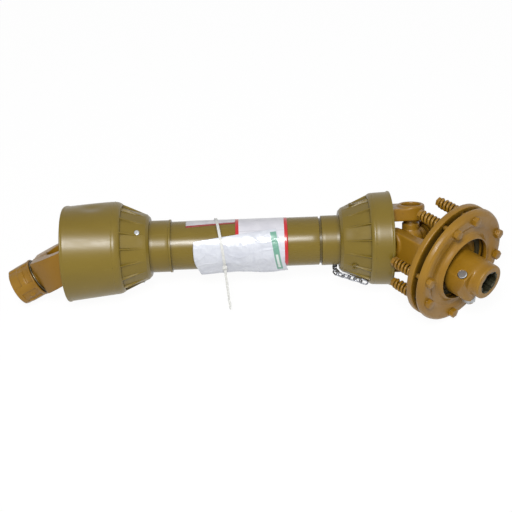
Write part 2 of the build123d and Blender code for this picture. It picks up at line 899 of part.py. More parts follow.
bolt_angles = [
    bolt_phase + 90 * quarter + side * bolt_spread for quarter in range(4) for side in (-1, 1)
]
bolt_spots = [
    (bolt_circle_radius * cos(radians(a)), bolt_circle_radius * sin(radians(a))) for a in bolt_angles
]
clutch_fork = fork(
    Plane.XY,
    Plane.XZ,
    flange_back + 1,
    clutch_root_radius,
    clutch_arm_half_width,
    clutch_arm_half_width,
)
with BuildPart() as flange_yoke:
    add(clutch_fork.part)
    with BuildSketch(across(flange_back)):
        Circle(flange_radius)
    extrude(amount=flange_front - flange_back)
    with BuildSketch(across(hub_spigot_start - 0.5)):
        Circle(hub_spigot_radius + hub_bush_wall)
    extrude(amount=flange_front, mode=Mode.SUBTRACT)
    with BuildSketch(across(flange_back - 1)):
        with Locations(bolt_spots):
            Circle(bolt_radius + bolt_hole_gap)
    extrude(amount=flange_front, mode=Mode.SUBTRACT)
flange_yoke.part.label = "flange_yoke"


def clutch_ring(name, start, thickness, inner, outer):
    """Flat ring in the clutch stack."""
    with BuildPart() as ring:
        with BuildSketch(across(start)):
            Circle(outer)
            Circle(inner, mode=Mode.SUBTRACT)
        extrude(amount=thickness)
    ring.part.label = name
    return ring


hub_plate_start = flange_front + lining_thickness + plate_gap
outer_lining_start = hub_plate_start + hub_plate_thickness + plate_gap
ring_plate_start = outer_lining_start + lining_thickness
cover_back = ring_plate_start + ring_plate_thickness
inner_friction_disc = clutch_ring(
    "inner_friction_disc", flange_front, lining_thickness, lining_inner, lining_outer
)
outer_friction_disc = clutch_ring(
    "outer_friction_disc", outer_lining_start, lining_thickness, lining_inner, lining_outer
)
pressure_ring = clutch_ring(
    "pressure_ring", ring_plate_start, ring_plate_thickness, lining_inner + 8, lining_outer
)
hub_bush = clutch_ring(
    "hub_bush",
    hub_spigot_start,
    flange_front - hub_spigot_start,
    hub_spigot_radius + hub_bush_gap,
    hub_spigot_radius + hub_bush_wall - cap_clearance,
)

with BuildPart() as clutch_cover:
    with BuildSketch(Plane.XZ):
        with BuildLine():
            bead = cover_bead_x
            valley = cover_back + cover_wall
            rim = Line((ring_plate_start, cover_rim_radius), (ring_plate_start + 3, cover_rim_radius))
            rise = ThreePointArc(rim @ 1, (bead - 2.0, cover_rim_radius - 3.5), (bead, bolt_circle_radius + 7))
            land = Line(rise @ 1, (bead, bolt_circle_radius - 7))
            dip_line = Line(land @ 1, (valley, cover_valley_radius + 3))
            floor_line = Line(dip_line @ 1, (valley, cover_valley_radius - 3))
            lip_line = Line(floor_line @ 1, (cover_lip_x - 1, cover_hole_radius + 3))
            lip_arc = Line(lip_line @ 1, (cover_lip_x, cover_hole_radius + 0.8))
            edge = Line(lip_arc @ 1, (cover_lip_x, cover_hole_radius))
            bore = Line(edge @ 1, (cover_lip_x - 5, cover_hole_radius))
            back_lip = Line(bore @ 1, (cover_back, cover_valley_radius - 5))
            back_floor = Line(back_lip @ 1, (cover_back, cover_valley_radius + 5))
            back_rise = Line(back_floor @ 1, (bead - cover_wall, bolt_circle_radius - 6))
            back_land = Line(back_rise @ 1, (bead - cover_wall, bolt_circle_radius + 6))
            back_rim = Line(back_land @ 1, (ring_plate_start, cover_rim_radius - cover_wall + 0.5))
            Line(back_rim @ 1, rim @ 0)
        make_face()
    revolve(axis=Axis.X)
    with BuildSketch(across(ring_plate_start)):
        with Locations(bolt_spots):
            Circle(bolt_radius + bolt_hole_gap)
    extrude(amount=cover_lip_x, mode=Mode.SUBTRACT)
clutch_cover.part.label = "clutch_cover"

# Bolts through the clutch, with a spring and a nut behind the flange

with BuildPart() as clutch_bolts:
    for spot in bolt_spots:
        with BuildSketch(across(cover_bead_x)):
            with Locations(spot):
                RegularPolygon(bolt_head_width / 2, 6, major_radius=False)
        extrude(amount=bolt_head_height)
        with BuildSketch(across(bolt_tip_x)):
            with Locations(spot):
                Circle(bolt_radius)
        extrude(amount=cover_bead_x - bolt_tip_x)
clutch_bolts.part.label = "clutch_bolts"

with BuildPart() as clutch_nuts:
    with BuildSketch(across(nut_inner_x)):
        for spot, angle in zip(bolt_spots, bolt_angles):
            with Locations(Location((spot[0], spot[1], 0), angle)):
                RegularPolygon(bolt_head_width / 2, 6, major_radius=False)
                Circle(bolt_radius + 0.02, mode=Mode.SUBTRACT)
    extrude(amount=nut_height)
clutch_nuts.part.label = "clutch_nuts"

spring_start = nut_inner_x + nut_height
spring_path_radius = spring_radius - spring_wire / 2
spring_rise = flange_back - spring_start - spring_wire - 2 * spring_gap
with BuildPart() as one_spring:
    with BuildLine():
        turns = Helix(
            spring_rise / spring_turns,
            spring_rise,
            spring_path_radius,
            center=(spring_start + spring_wire / 2 + spring_gap, 0, 0),
            direction=(1, 0, 0),
        )
    with BuildSketch(Plane(origin=turns @ 0, z_dir=turns % 0)):
        Circle(spring_wire / 2)
    sweep(is_frenet=True)
with BuildPart() as clutch_springs:
    with Locations([(0, spot[0], spot[1]) for spot in bolt_spots]):
        add(one_spring.part)
clutch_springs.part.label = "clutch_springs"

# Clutch hub: driven plate, spigot, splined nose and the lug for its taper pin

lug_plane = Plane(
    origin=(pin_station, 0, 0),
    x_dir=(1, 0, 0),
    z_dir=(0, -sin(radians(lug_angle)), cos(radians(lug_angle))),
)
with BuildPart() as lug:
    with BuildSketch(lug_plane):
        with Locations(((lug_start + lug_end) / 2 - pin_station, lug_crown_radius / 2)):
            RectangleRounded(lug_end - lug_start, lug_crown_radius, lug_corner)
    extrude(amount=lug_half_length, both=True)
    with BuildSketch(across(lug_start)):
        Circle(lug_crown_radius)
    extrude(amount=lug_end - lug_start, mode=Mode.INTERSECT)
with BuildPart() as clutch_hub:
    with BuildSketch(Plane.XZ):
        with BuildLine():
            Polyline(
                (hub_spigot_start, 0),
                (hub_spigot_start, hub_spigot_radius),
                (hub_plate_start, hub_spigot_radius),
                (hub_plate_start, hub_plate_radius),
                (hub_plate_start + hub_plate_thickness, hub_plate_radius),
                (hub_plate_start + hub_plate_thickness, hub_radius + 6),
                (lug_start, hub_radius),
                (lug_end, hub_radius),
                (lug_end + 4, hub_nose_radius),
                (hub_end - 1.5, hub_nose_radius),
                (hub_end, hub_nose_radius - 1.5),
                (hub_end, 0),
                close=True,
            )
        make_face()
    revolve(axis=Axis.X)
    add(lug.part)
    with BuildSketch(across(hub_plate_start + 1)):
        Circle(spline_major + 0.8)
    extrude(amount=-hub_plate_start, mode=Mode.SUBTRACT)
    with BuildSketch(across(hub_spigot_start - 1)):
        draw_spline()
    extrude(amount=hub_end, mode=Mode.SUBTRACT)
    with BuildSketch(lug_plane):
        with Locations((0, pin_offset)):
            Circle(pin_radius + pin_seat)
    extrude(amount=2 * lug_half_length, both=True, mode=Mode.SUBTRACT)
clutch_hub.part.label = "clutch_hub"

with BuildPart() as taper_pin:
    with BuildSketch(lug_plane.offset(-lug_half_length - 1.5)):
        with Locations((0, pin_offset)):
            Circle(pin_radius)
    extrude(amount=2 * lug_half_length + pin_washer_thickness + pin_nut_height + 3.5)
    chamfer(taper_pin.faces().filter_by(GeomType.PLANE).edges(), 0.8)
taper_pin.part.label = "taper_pin"

with BuildPart() as taper_pin_washer:
    with BuildSketch(lug_plane.offset(lug_half_length)):
        with Locations((0, pin_offset)):
            Circle(pin_washer_radius)
            Circle(pin_radius + 0.2, mode=Mode.SUBTRACT)
    extrude(amount=pin_washer_thickness)
taper_pin_washer.part.label = "taper_pin_washer"

with BuildPart() as taper_pin_nut:
    with BuildSketch(lug_plane.offset(lug_half_length + pin_washer_thickness)):
        with Locations((0, pin_offset)):
            RegularPolygon(pin_nut_width / 2, 6, major_radius=False)
            Circle(pin_radius + 0.02, mode=Mode.SUBTRACT)
    extrude(amount=pin_nut_height)
taper_pin_nut.part.label = "taper_pin_nut"

# Label, document pouch and cable tie on the left guard tube

with BuildPart() as label_sticker:
    with BuildSketch(across(label_start)):
        draw_arc_strip(guard_radius, guard_radius + label_thickness, label_from, label_to)
    extrude(amount=label_end - label_start)
    with BuildSketch(across(tape_start)):
        draw_arc_strip(guard_radius, guard_radius + label_thickness, label_from, tape_to)
    extrude(amount=label_start - tape_start)
label_sticker.part.label = "label_sticker"

pouch_inner = guard_radius + label_thickness
with BuildPart() as document_pouch:
    with BuildSketch(across(pouch_start)):
        draw_arc_strip(pouch_inner, pouch_inner + pouch_thickness, pouch_from, pouch_to)
        hem = radians(pouch_to)
        hem_tip = (
            (pouch_inner * cos(hem) - pouch_hem * sin(hem)),
            (pouch_inner * sin(hem) + pouch_hem * cos(hem)),
        )
        with BuildLine():
            Polyline(
                (pouch_inner * cos(hem), pouch_inner * sin(hem)),
                hem_tip,
                (
                    hem_tip[0] + pouch_thickness * cos(hem),
                    hem_tip[1] + pouch_thickness * sin(hem),
                ),
                (
                    (pouch_inner + pouch_thickness) * cos(hem),
                    (pouch_inner + pouch_thickness) * sin(hem),
                ),
                close=True,
            )
        make_face()
    extrude(amount=pouch_end - pouch_start)
    with BuildSketch(outward(0, pouch_view_angle)):
        with BuildLine():
            Polyline(
                (pouch_start, pouch_inner * sin(radians(pouch_view_angle - pouch_left_angle))),
                (pouch_top_end, 2 * pouch_inner * sin(radians(pouch_view_angle - pouch_from))),
                (pouch_end, -2 * pouch_inner),
                (pouch_start + pouch_left_slant, -2 * pouch_inner),
                close=True,
            )
        make_face()
    extrude(amount=2 * guard_radius, mode=Mode.INTERSECT)
    with BuildSketch(outward(pouch_inner, pouch_to, tie_station + tie_slot_shift)):
        with Locations((0, -tie_slot / 2)):
            SlotOverall(tie_slot, tie_width + 3, rotation=90)
    extrude(amount=4 * pouch_thickness, both=True, mode=Mode.SUBTRACT)
document_pouch.part.label = "document_pouch"

tie_inner = pouch_inner + pouch_thickness + tie_gap
tie_normal = (1, sin(radians(tie_slant_y)), sin(radians(tie_slant_z)))
tie_plane = Plane(origin=(tie_station, 0, 0), x_dir=(0, 0, 1), z_dir=tie_normal)
tie_spoke = (cos(radians(tie_head_angle)), sin(radians(tie_head_angle)))
head_x = tie_station - tie_inner * (tie_normal[1] * tie_spoke[0] + tie_normal[2] * tie_spoke[1])
with BuildPart() as cable_tie:
    with BuildSketch(across(tie_station - guard_radius / 2)):
        Circle(tie_inner + tie_thickness)
        Circle(tie_inner, mode=Mode.SUBTRACT)
    extrude(amount=guard_radius)
    with BuildSketch(tie_plane.offset(-tie_width / 2)):
        Rectangle(4 * guard_radius, 4 * guard_radius)
    extrude(amount=tie_width, mode=Mode.INTERSECT)
    with BuildSketch(outward(tie_inner + tie_thickness / 3, tie_head_angle, head_x)):
        RectangleRounded(tie_head, tie_head, 1.2)
    extrude(amount=tie_head * 0.75)
    tail_top = Vector(head_x, (tie_inner + 2) * tie_spoke[0], (tie_inner + 2) * tie_spoke[1])
    tail_plane = Plane(origin=tail_top, x_dir=(0, -1, 0), z_dir=(1, 0, -tie_tail_lean))
    with BuildSketch(tail_plane.offset(-tie_width / 2 + 0.2)):
        with BuildLine():
            Polyline(
                (0, 0),
                (tie_tail_out, tie_tail),
                (tie_tail_out + tie_thickness, tie_tail),
                (tie_thickness, 0),
                close=True,
            )
        make_face()
    extrude(amount=tie_width - 0.4)
cable_tie.part.label = "cable_tie"

# Safety chain, wound round the far side of the right neck and laid between two ribs

chain_lift = link_width / 2
neck_lift = right_neck_radius + chain_lift
sweep_angle = chain_far_angle - chain_angle
chain_marks = [
    (x, 0, cone_surface(x, *right_cone) + chain_lift + 0.8)
    for x in (chain_end_x, chain_end_x - 18, right_cone_tip_x + 8)
]
chain_marks += [
    (right_cone_tip_x - 1.5, 0, right_cone_tip_radius + chain_lift + 1.2),
    (chain_neck_x - 1, 0.045, neck_lift + 6.5),
    (chain_neck_x, 0.17, neck_lift + 0.6),
    (chain_neck_x, 0.3, neck_lift + 0.3),
    (chain_neck_x, 0.5, neck_lift + 0.3),
    (chain_neck_x, 0.75, neck_lift + 0.3),
    (chain_neck_x, 1, neck_lift + 0.3),
]
chain_points = [around(r, chain_angle + share * sweep_angle, x).origin for x, share, r in chain_marks]
with BuildLine() as chain_line:
    Spline(*chain_points)
chain_edge = chain_line.edges()[0]
link_pitch = link_length - 2 * chain_wire - link_play
with BuildPart() as safety_chain:
    for n in range(int((chain_edge.length - link_length) / link_pitch)):
        share = (link_length / 2 + n * link_pitch) / chain_edge.length
        spot = chain_edge @ share
        along = chain_edge % share
        spoke = Vector(0, spot.Y, spot.Z).normalized()
        side = along.cross(spoke).normalized()
        turn = 1 if n % 2 else -1
        with BuildSketch(Plane(origin=spot, x_dir=along, z_dir=side + along.cross(side) * turn)):
            SlotOverall(link_length, link_width)
            SlotOverall(link_length - 2 * chain_wire, link_width - 2 * chain_wire, mode=Mode.SUBTRACT)
        extrude(amount=chain_wire / 2, both=True)
safety_chain.part.label = "safety_chain"

# The pose of the parts: the left bell rim, the clutch flange and a clutch nut touch the floor


def line_place(roll, tilt):
    """Shaft turned by roll degrees and leaning by tilt, with its left rim on the floor."""
    height = left_rim_radius * cos(radians(tilt)) + left_rim_x * sin(radians(tilt))
    return Pos(0, 0, height) * Rot(Y=tilt) * Rot(X=-roll)


def clutch_lows(roll, tilt):
    """Heights of the lowest nut edge and of the lowest disc edge above the floor."""
    line = line_place(roll, tilt)
    frame = line * Pos(cross_spacing, 0, 0) * Rot(Z=right_swing) * Rot(Y=right_dip)
    rise = (frame * Pos(1, 0, 0)).position.Z - frame.position.Z
    level = sqrt(1 - rise * rise)
    nut_edges = [
        (frame * Pos(nut_inner_x, y, z)).position.Z - bolt_head_width / sqrt(3) * level
        for y, z in bolt_spots
    ]
    flange_edge = (frame * Pos(flange_back, 0, 0)).position.Z - flange_radius * level
    cover_edge = (frame * Pos(ring_plate_start, 0, 0)).position.Z - cover_rim_radius * level
    return min(nut_edges), min(flange_edge, cover_edge)


def settled_tilt(roll):
    """Lean of the shaft at which the clutch just touches the floor."""
    flat, steep = -3.0, 3.0
    for step in range(30):
        tilt = (flat + steep) / 2
        if min(clutch_lows(roll, tilt)) > 0:
            flat = tilt
        else:
            steep = tilt
    return (flat + steep) / 2


roll_low, roll_high = 20.0, 55.0
for step in range(30):
    shaft_roll = (roll_low + roll_high) / 2
    nut_low, disc_low = clutch_lows(shaft_roll, settled_tilt(shaft_roll))
    if nut_low < disc_low:
        roll_high = shaft_roll
    else:
        roll_low = shaft_roll
drive_line = line_place(shaft_roll, settled_tilt(shaft_roll))
left_yoke_place = drive_line * Rot(Y=-left_droop) * Rot(Z=180)
right_end_place = drive_line * Pos(cross_spacing, 0, 0)
right_yoke_place = right_end_place * Rot(Z=180)
right_cross_place = right_end_place * Rot(Z=right_swing)
clutch_place = right_cross_place * Rot(Y=right_dip)

places = [
    (left_cross, drive_line),
    (left_grease_nipple, drive_line),
    (right_cross, right_cross_place),
    (right_grease_nipple, right_cross_place),
    (left_inner_caps, drive_line),
    (left_inner_snap_rings, drive_line),
    (left_outer_caps, left_yoke_place),
    (left_outer_snap_rings, left_yoke_place),
    (right_inner_caps, right_end_place),
    (right_inner_snap_rings, right_end_place),
    (right_outer_caps, clutch_place),
    (right_outer_snap_rings, clutch_place),
    (left_inner_yoke, drive_line),
    (right_inner_yoke, right_yoke_place),
    (outer_drive_tube, drive_line),
    (inner_drive_tube, drive_line),
    (left_roll_pin, drive_line),
    (right_roll_pin, drive_line),
    (left_outer_yoke, left_yoke_place),
    (collar_retaining_ring, left_yoke_place),
    (pull_collar, left_yoke_place),
    (collar_spring, left_yoke_place),
    (left_guard_cone, drive_line),
    (left_guard_cuff, drive_line),
    (outer_guard_tube, drive_line),
    (left_guard_bearing, drive_line),
    (right_guard_cone, drive_line),
    (right_guard_cuff, drive_line),
    (inner_guard_tube, drive_line),
    (right_guard_bearing, drive_line),
]
places += [
    (left_guard_screws, drive_line),
    (flange_yoke, clutch_place),
    (inner_friction_disc, clutch_place),
    (outer_friction_disc, clutch_place),
    (pressure_ring, clutch_place),
    (clutch_cover, clutch_place),
    (clutch_bolts, clutch_place),
    (clutch_nuts, clutch_place),
    (clutch_springs, clutch_place),
    (hub_bush, clutch_place),
    (clutch_hub, clutch_place),
    (taper_pin, clutch_place),
    (taper_pin_washer, clutch_place),
    (taper_pin_nut, clutch_place),
    (label_sticker, drive_line),
    (document_pouch, drive_line),
    (cable_tie, drive_line),
    (safety_chain, drive_line),
]
places += [(ball, left_yoke_place) for ball in locking_balls]

# The middle of the underside of the whole becomes the origin

os.makedirs("parts", exist_ok=True)
for piece, place in places:
    piece.part.location = place
boxes = [piece.part.bounding_box() for piece, place in places]
low = Vector(*(min(getattr(box.min, axis) for box in boxes) for axis in "XYZ"))
high = Vector(*(max(getattr(box.max, axis) for box in boxes) for axis in "XYZ"))
shift = Pos(-(low.X + high.X) / 2, -(low.Y + high.Y) / 2, -low.Z)
for piece, place in places:
    piece.part.location = shift * place
    export_step(piece.part, f"parts/{piece.part.label}.step")
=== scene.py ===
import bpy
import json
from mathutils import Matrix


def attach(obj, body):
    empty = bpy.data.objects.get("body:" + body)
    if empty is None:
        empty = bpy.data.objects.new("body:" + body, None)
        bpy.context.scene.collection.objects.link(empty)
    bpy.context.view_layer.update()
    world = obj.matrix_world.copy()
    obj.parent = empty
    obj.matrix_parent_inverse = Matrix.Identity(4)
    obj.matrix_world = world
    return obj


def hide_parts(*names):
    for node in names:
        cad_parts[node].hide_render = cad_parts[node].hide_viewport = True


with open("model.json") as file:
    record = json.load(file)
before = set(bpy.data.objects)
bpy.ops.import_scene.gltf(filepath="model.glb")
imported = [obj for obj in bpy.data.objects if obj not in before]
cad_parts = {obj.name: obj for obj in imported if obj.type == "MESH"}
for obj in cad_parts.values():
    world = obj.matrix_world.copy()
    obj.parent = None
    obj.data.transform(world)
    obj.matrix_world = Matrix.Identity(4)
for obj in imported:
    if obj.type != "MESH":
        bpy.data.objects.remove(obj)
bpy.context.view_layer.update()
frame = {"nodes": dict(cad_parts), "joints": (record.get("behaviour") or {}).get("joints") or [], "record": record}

import json
import math

import bmesh
import bpy
from mathutils import Matrix, Vector, noise

nodes = frame["nodes"]
joints = {j["name"]: j for j in frame["joints"]}
print("frame loaded:", len(nodes), "nodes")


# places: each is a matrix from millimetres round a joint centre to the shared frame
def placeFrom(origin, xAxis, yAxis):
    x = Vector(xAxis).normalized()
    y = Vector(yAxis)
    y = (y - x * y.dot(x)).normalized()
    turn = Matrix((x, y, x.cross(y))).transposed().to_4x4()
    return Matrix.Translation(Vector(origin)) @ turn @ Matrix.Scale(0.001, 4)


shaftPlace = placeFrom(joints["left_guard_spin"]["pos_m"], joints["left_guard_spin"]["axis"],
                       joints["left_yoke_hinge"]["axis"])
yokePlace = placeFrom(joints["left_guard_spin"]["pos_m"], -Vector(joints["collar_slide"]["axis"]),
                      -Vector(joints["left_yoke_hinge"]["axis"]))
clutchPlace = placeFrom(joints["clutch_slip"]["pos_m"], joints["clutch_slip"]["axis"],
                        joints["clutch_yoke_hinge"]["axis"])


# camera first: fitted to the photograph, in the shaft's own directions
camera = {"focalPx": 1020.87, "distance": 1610.1, "lift": 0.2554, "roll": 0.0366, "aimX": 264.12, "aimZ": -21.41}
lift, roll = camera["lift"], camera["roll"]
ahead = Vector((0, math.cos(lift), -math.sin(lift)))
over = Vector((0, math.sin(lift), math.cos(lift)))
side = Vector((1, 0, 0))
eye = Vector((camera["aimX"], 0, camera["aimZ"])) - ahead * camera["distance"]
camRight = side * math.cos(roll) - over * math.sin(roll)
camUp = side * math.sin(roll) + over * math.cos(roll)
shaftTurn = shaftPlace.to_3x3() * 1000
camTurn = Matrix((shaftTurn @ camRight, shaftTurn @ camUp, shaftTurn @ -ahead)).transposed()
camData = bpy.data.cameras.new("photoCamera")
camData.sensor_width = 36
camData.lens = camera["focalPx"] / 512 * 36
camData.clip_start = 0.05
camObject = bpy.data.objects.new("photoCamera", camData)
camObject.matrix_world = Matrix.Translation(shaftPlace @ eye) @ camTurn.to_4x4()
bpy.context.scene.collection.objects.link(camObject)
bpy.context.scene.camera = camObject
print("camera placed")


# shader maths: a wire stands for one socket, and sums on it add Math nodes
class Wire:
    def __init__(self, finish, socket):
        self.finish = finish
        self.socket = socket

    def pair(self, kind, first, second):
        return self.finish.node("ShaderNodeMath", {"operation": kind}, {0: first, 1: second})

    def __add__(self, other):
        return self.pair("ADD", self, other)

    def __radd__(self, other):
        return self.pair("ADD", other, self)

    def __sub__(self, other):
        return self.pair("SUBTRACT", self, other)

    def __rsub__(self, other):
        return self.pair("SUBTRACT", other, self)

    def __mul__(self, other):
        return self.pair("MULTIPLY", self, other)

    def __rmul__(self, other):
        return self.pair("MULTIPLY", other, self)

    def __truediv__(self, other):
        return self.pair("DIVIDE", self, other)

    def __rtruediv__(self, other):
        return self.pair("DIVIDE", other, self)

    def __gt__(self, other):
        return self.pair("GREATER_THAN", self, other)

    def __lt__(self, other):
        return self.pair("LESS_THAN", self, other)

    def capped(self):
        return self.finish.node("ShaderNodeClamp", {}, {"Value": self})


# one material: node() makes any node, set() feeds the shader
class Finish:
    def __init__(self, name):
        self.material = bpy.data.materials.new(name)
        self.material.use_nodes = True
        self.tree = self.material.node_tree
        self.tree.nodes.clear()
        self.shader = self.tree.nodes.new("ShaderNodeBsdfPrincipled")
        self.end = self.tree.nodes.new("ShaderNodeOutputMaterial")
        self.tree.links.new(self.shader.outputs[0], self.end.inputs["Surface"])

    def node(self, kind, settings, inputs, out=0):
        made = self.tree.nodes.new(kind)
        for key, value in settings.items():
            if key == "stops":
                ramp = made.color_ramp
                while len(ramp.elements) < len(value):
                    ramp.elements.new(0.5)
                for element, (place, colour) in zip(ramp.elements, value):
                    element.position = place
                    element.color = colour
            else:
                setattr(made, key, value)
        for key, value in inputs.items():
            self.feed(made.inputs[key], value)
        return Wire(self, made.outputs[out])

    def feed(self, socket, value):
        if isinstance(value, Wire):
            self.tree.links.new(value.socket, socket)
        else:
            socket.default_value = value

    def set(self, **inputs):
        for key, value in inputs.items():
            self.feed(self.shader.inputs[key.replace("_", " ")], value)

    def spot(self):
        return self.node("ShaderNodeTexCoord", {}, {}, "Object")

    def noise(self, scale, detail=3.0, rough=0.5, where=None, warp=0.0):
        return self.node("ShaderNodeTexNoise", {}, {"Vector": where or self.spot(), "Scale": scale,
                         "Detail": detail, "Roughness": rough, "Distortion": warp}, "Fac")

    def ramp(self, wire, stops):
        return self.node("ShaderNodeValToRGB", {"stops": stops}, {"Fac": wire}, "Color")

    def band(self, wire, low, high, fromValue=0.0, toValue=1.0):
        return self.node("ShaderNodeMapRange", {"interpolation_type": "SMOOTHSTEP"},
                         {"Value": wire, "From Min": low, "From Max": high, "To Min": fromValue, "To Max": toValue})

    def blend(self, share, first, second):
        return self.node("ShaderNodeMix", {"data_type": "RGBA"}, {0: share, 6: first, 7: second}, 2)

    def bump(self, height, distance, strength=1.0, under=None):
        inputs = {"Height": height, "Distance": distance, "Strength": strength}
        if under:
            inputs["Normal"] = under
        return self.node("ShaderNodeBump", {}, inputs)


def tone(red, green, blue):
    # screen colour 0-255 to linear
    def straight(c):
        c /= 255
        return c / 12.92 if c <= 0.04045 else ((c + 0.055) / 1.055) ** 2.4
    return (straight(red), straight(green), straight(blue), 1.0)


# painted castings: golden brown enamel, a little uneven, with painted shade in the hollows
paint = {"colour": (140, 100, 16), "pale": (154, 113, 28), "dark": (98, 66, 12), "rough": 0.3}


def paintedMetal(name, rough=None, grain=0.00025):
    made = Finish(name)
    broad = made.noise(14, 2, 0.5)
    small = made.noise(160, 4, 0.6)
    fine = made.noise(900, 3, 0.6)
    colour = made.blend(made.band(broad, 0.35, 0.7), tone(*paint["colour"]), tone(*paint["pale"]))
    colour = made.blend(made.band(small, 0.6, 0.75) * 0.35, colour, tone(*paint["dark"]))
    colour = made.blend(made.band(fine, 0.68, 0.76) * 0.2, colour, tone(188, 150, 72))
    # painted shade: the colour turns dark brown where ambient occlusion finds hollows, creases and corners
    hollow = made.node("ShaderNodeAmbientOcclusion", {"samples": 6}, {"Distance": 0.022}, "AO")
    colour = made.blend(made.band(hollow, 0.15, 0.7, 0.85, 0.0), colour, tone(48, 36, 14))
    made.set(Base_Color=colour, Roughness=(rough or paint["rough"]) + made.band(small, 0.3, 0.7) * 0.12, Metallic=0.0,
             Specular_IOR_Level=0.4,
             Normal=made.bump(made.noise(260, 3, 0.55) + broad * 0.6, grain, 0.6,
                              made.bump(made.noise(60, 2, 0.5), grain * 2.4, 0.5)))
    return made.material


# moulded guard: olive yellow plastic, satin, with faint flow marks, scuffs and painted shade in the creases
plastic = {"colour": (118, 98, 26), "pale": (126, 106, 33), "dark": (102, 84, 24), "rough": 0.33}


def guardPlastic(name, rough=None):
    made = Finish(name)
    broad = made.noise(9, 2, 0.5, warp=0.6)
    small = made.noise(120, 4, 0.6)
    stretch = made.node("ShaderNodeMapping", {}, {"Vector": made.spot(), "Scale": (10, 60, 60)})
    scuffs = made.noise(3, 3, 0.6, where=stretch)
    colour = made.blend(made.band(broad, 0.3, 0.72), tone(*plastic["colour"]), tone(*plastic["pale"]))
    colour = made.blend(made.band(small, 0.58, 0.8) * 0.22, colour, tone(*plastic["dark"]))
    colour = made.blend(made.band(scuffs, 0.62, 0.78) * 0.07, colour, tone(190, 174, 108))
    # painted shade: the colour turns dark where ambient occlusion finds rib feet, steps and creases
    hollow = made.node("ShaderNodeAmbientOcclusion", {"samples": 6}, {"Distance": 0.007}, "AO")
    colour = made.blend(made.band(hollow, 0.45, 0.95, 0.75, 0.0), colour, tone(58, 46, 12))
    made.set(Base_Color=colour, Roughness=(rough or plastic["rough"]) + made.band(scuffs, 0.4, 0.7) * 0.05,
             Specular_IOR_Level=0.4,
             Normal=made.bump(made.noise(420, 2, 0.5), 0.00005, 0.4, made.bump(broad, 0.001, 0.3)))
    return made.material


def zincSteel(name, colour=(186, 188, 190), rough=0.3):
    made = Finish(name)
    small = made.noise(240, 4, 0.6)
    fine = made.noise(1200, 2, 0.5)
    mixed = made.blend(made.band(small, 0.35, 0.7), tone(*colour), tone(*[c * 0.78 for c in colour]))
    mixed = made.blend(made.band(fine, 0.62, 0.72) * 0.3, mixed, tone(120, 112, 92))
    made.set(Base_Color=mixed, Metallic=1.0, Roughness=rough + made.band(small, 0.3, 0.7) * 0.16,
             Normal=made.bump(fine + small, 0.00006, 0.5))
    return made.material


def plainFinish(name, colour, second, rough, scale, depth=0.00008, metal=0.0):
    made = Finish(name)
    small = made.noise(scale, 4, 0.65)
    mixed = made.blend(made.band(small, 0.35, 0.68), tone(*colour), tone(*second))
    made.set(Base_Color=mixed, Roughness=rough + made.band(made.noise(scale * 2.3), 0.3, 0.7) * 0.1, Metallic=metal,
             Normal=made.bump(small, depth, 0.6))
    return made.material


paintMaterial = paintedMetal("goldenPaint")
guardMaterial = guardPlastic("olivePlastic")
tubeMaterial = guardPlastic("oliveTube", 0.26)
zincMaterial = zincSteel("zincPlate")
springSteelMaterial = zincSteel("springSteel", (132, 122, 98), 0.36)
nylonMaterial = plainFinish("bearingNylon", (196, 190, 168), (176, 168, 144), 0.4, 300)
# friction lining: dark olive, partly its own colour and partly painted shade of the deep gap between the clutch plates
liningAndGapShadeMaterial = plainFinish("pressedLiningGapShade", (62, 56, 26), (44, 40, 20), 0.75, 700, 0.0003)
# bore steel: dark, partly from oil and partly as painted shade deep inside the splined bores
boreOilAndShadeMaterial = plainFinish("boreSteelOilAndShade", (62, 60, 42), (40, 38, 24), 0.42, 500, metal=0.5)
bushMaterial = plainFinish("bushMetal", (168, 132, 76), (140, 108, 60), 0.35, 500, metal=0.9)
strapMaterial = plainFinish("whiteStrap", (226, 226, 222), (206, 206, 202), 0.38, 260)
print("materials made")


# mesh helpers
def finished(name, shape, place, material, body, replaced=(), smooth=True, sharpAngle=38):
    mesh = bpy.data.meshes.new(name)
    if place is not None:
        bmesh.ops.transform(shape, matrix=place, verts=shape.verts)
    bmesh.ops.recalc_face_normals(shape, faces=shape.faces)
    shape.to_mesh(mesh)
    shape.free()
    piece = bpy.data.objects.new(name, mesh)
    bpy.context.scene.collection.objects.link(piece)
    mesh.materials.append(material)
    if smooth:
        mesh.shade_smooth()
        mesh.set_sharp_from_angle(angle=math.radians(sharpAngle))
    if replaced:
        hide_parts(*replaced)
    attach(piece, body)
    return piece


def turnedShape(profile, steps, soften=0.5, segments=3, closed=True, longest=None):
    # a profile of (x, radius) points, its corners rounded, spun about X
    shape = bmesh.new()
    ring = [shape.verts.new((x, 0, radius)) for x, radius in profile]
    for a, b in zip(ring, ring[1:]):
        shape.edges.new((a, b))
    if closed:
        shape.edges.new((ring[-1], ring[0]))
    if soften:
        corners = [v for v in shape.verts if len(v.link_edges) == 2]
        bmesh.ops.bevel(shape, geom=corners, offset=soften, segments=segments, profile=0.5, material=-1,
                        affect="VERTICES", clamp_overlap=True)
    if longest:
        for edge in list(shape.edges):
            cuts = int(edge.calc_length() / longest)
            if cuts:
                bmesh.ops.subdivide_edges(shape, edges=[edge], cuts=cuts)
    bmesh.ops.spin(shape, geom=list(shape.verts) + list(shape.edges), cent=(0, 0, 0), axis=(1, 0, 0),
                   angle=math.tau, steps=steps, use_merge=True)
    bmesh.ops.remove_doubles(shape, verts=shape.verts, dist=1e-4)
    return shape


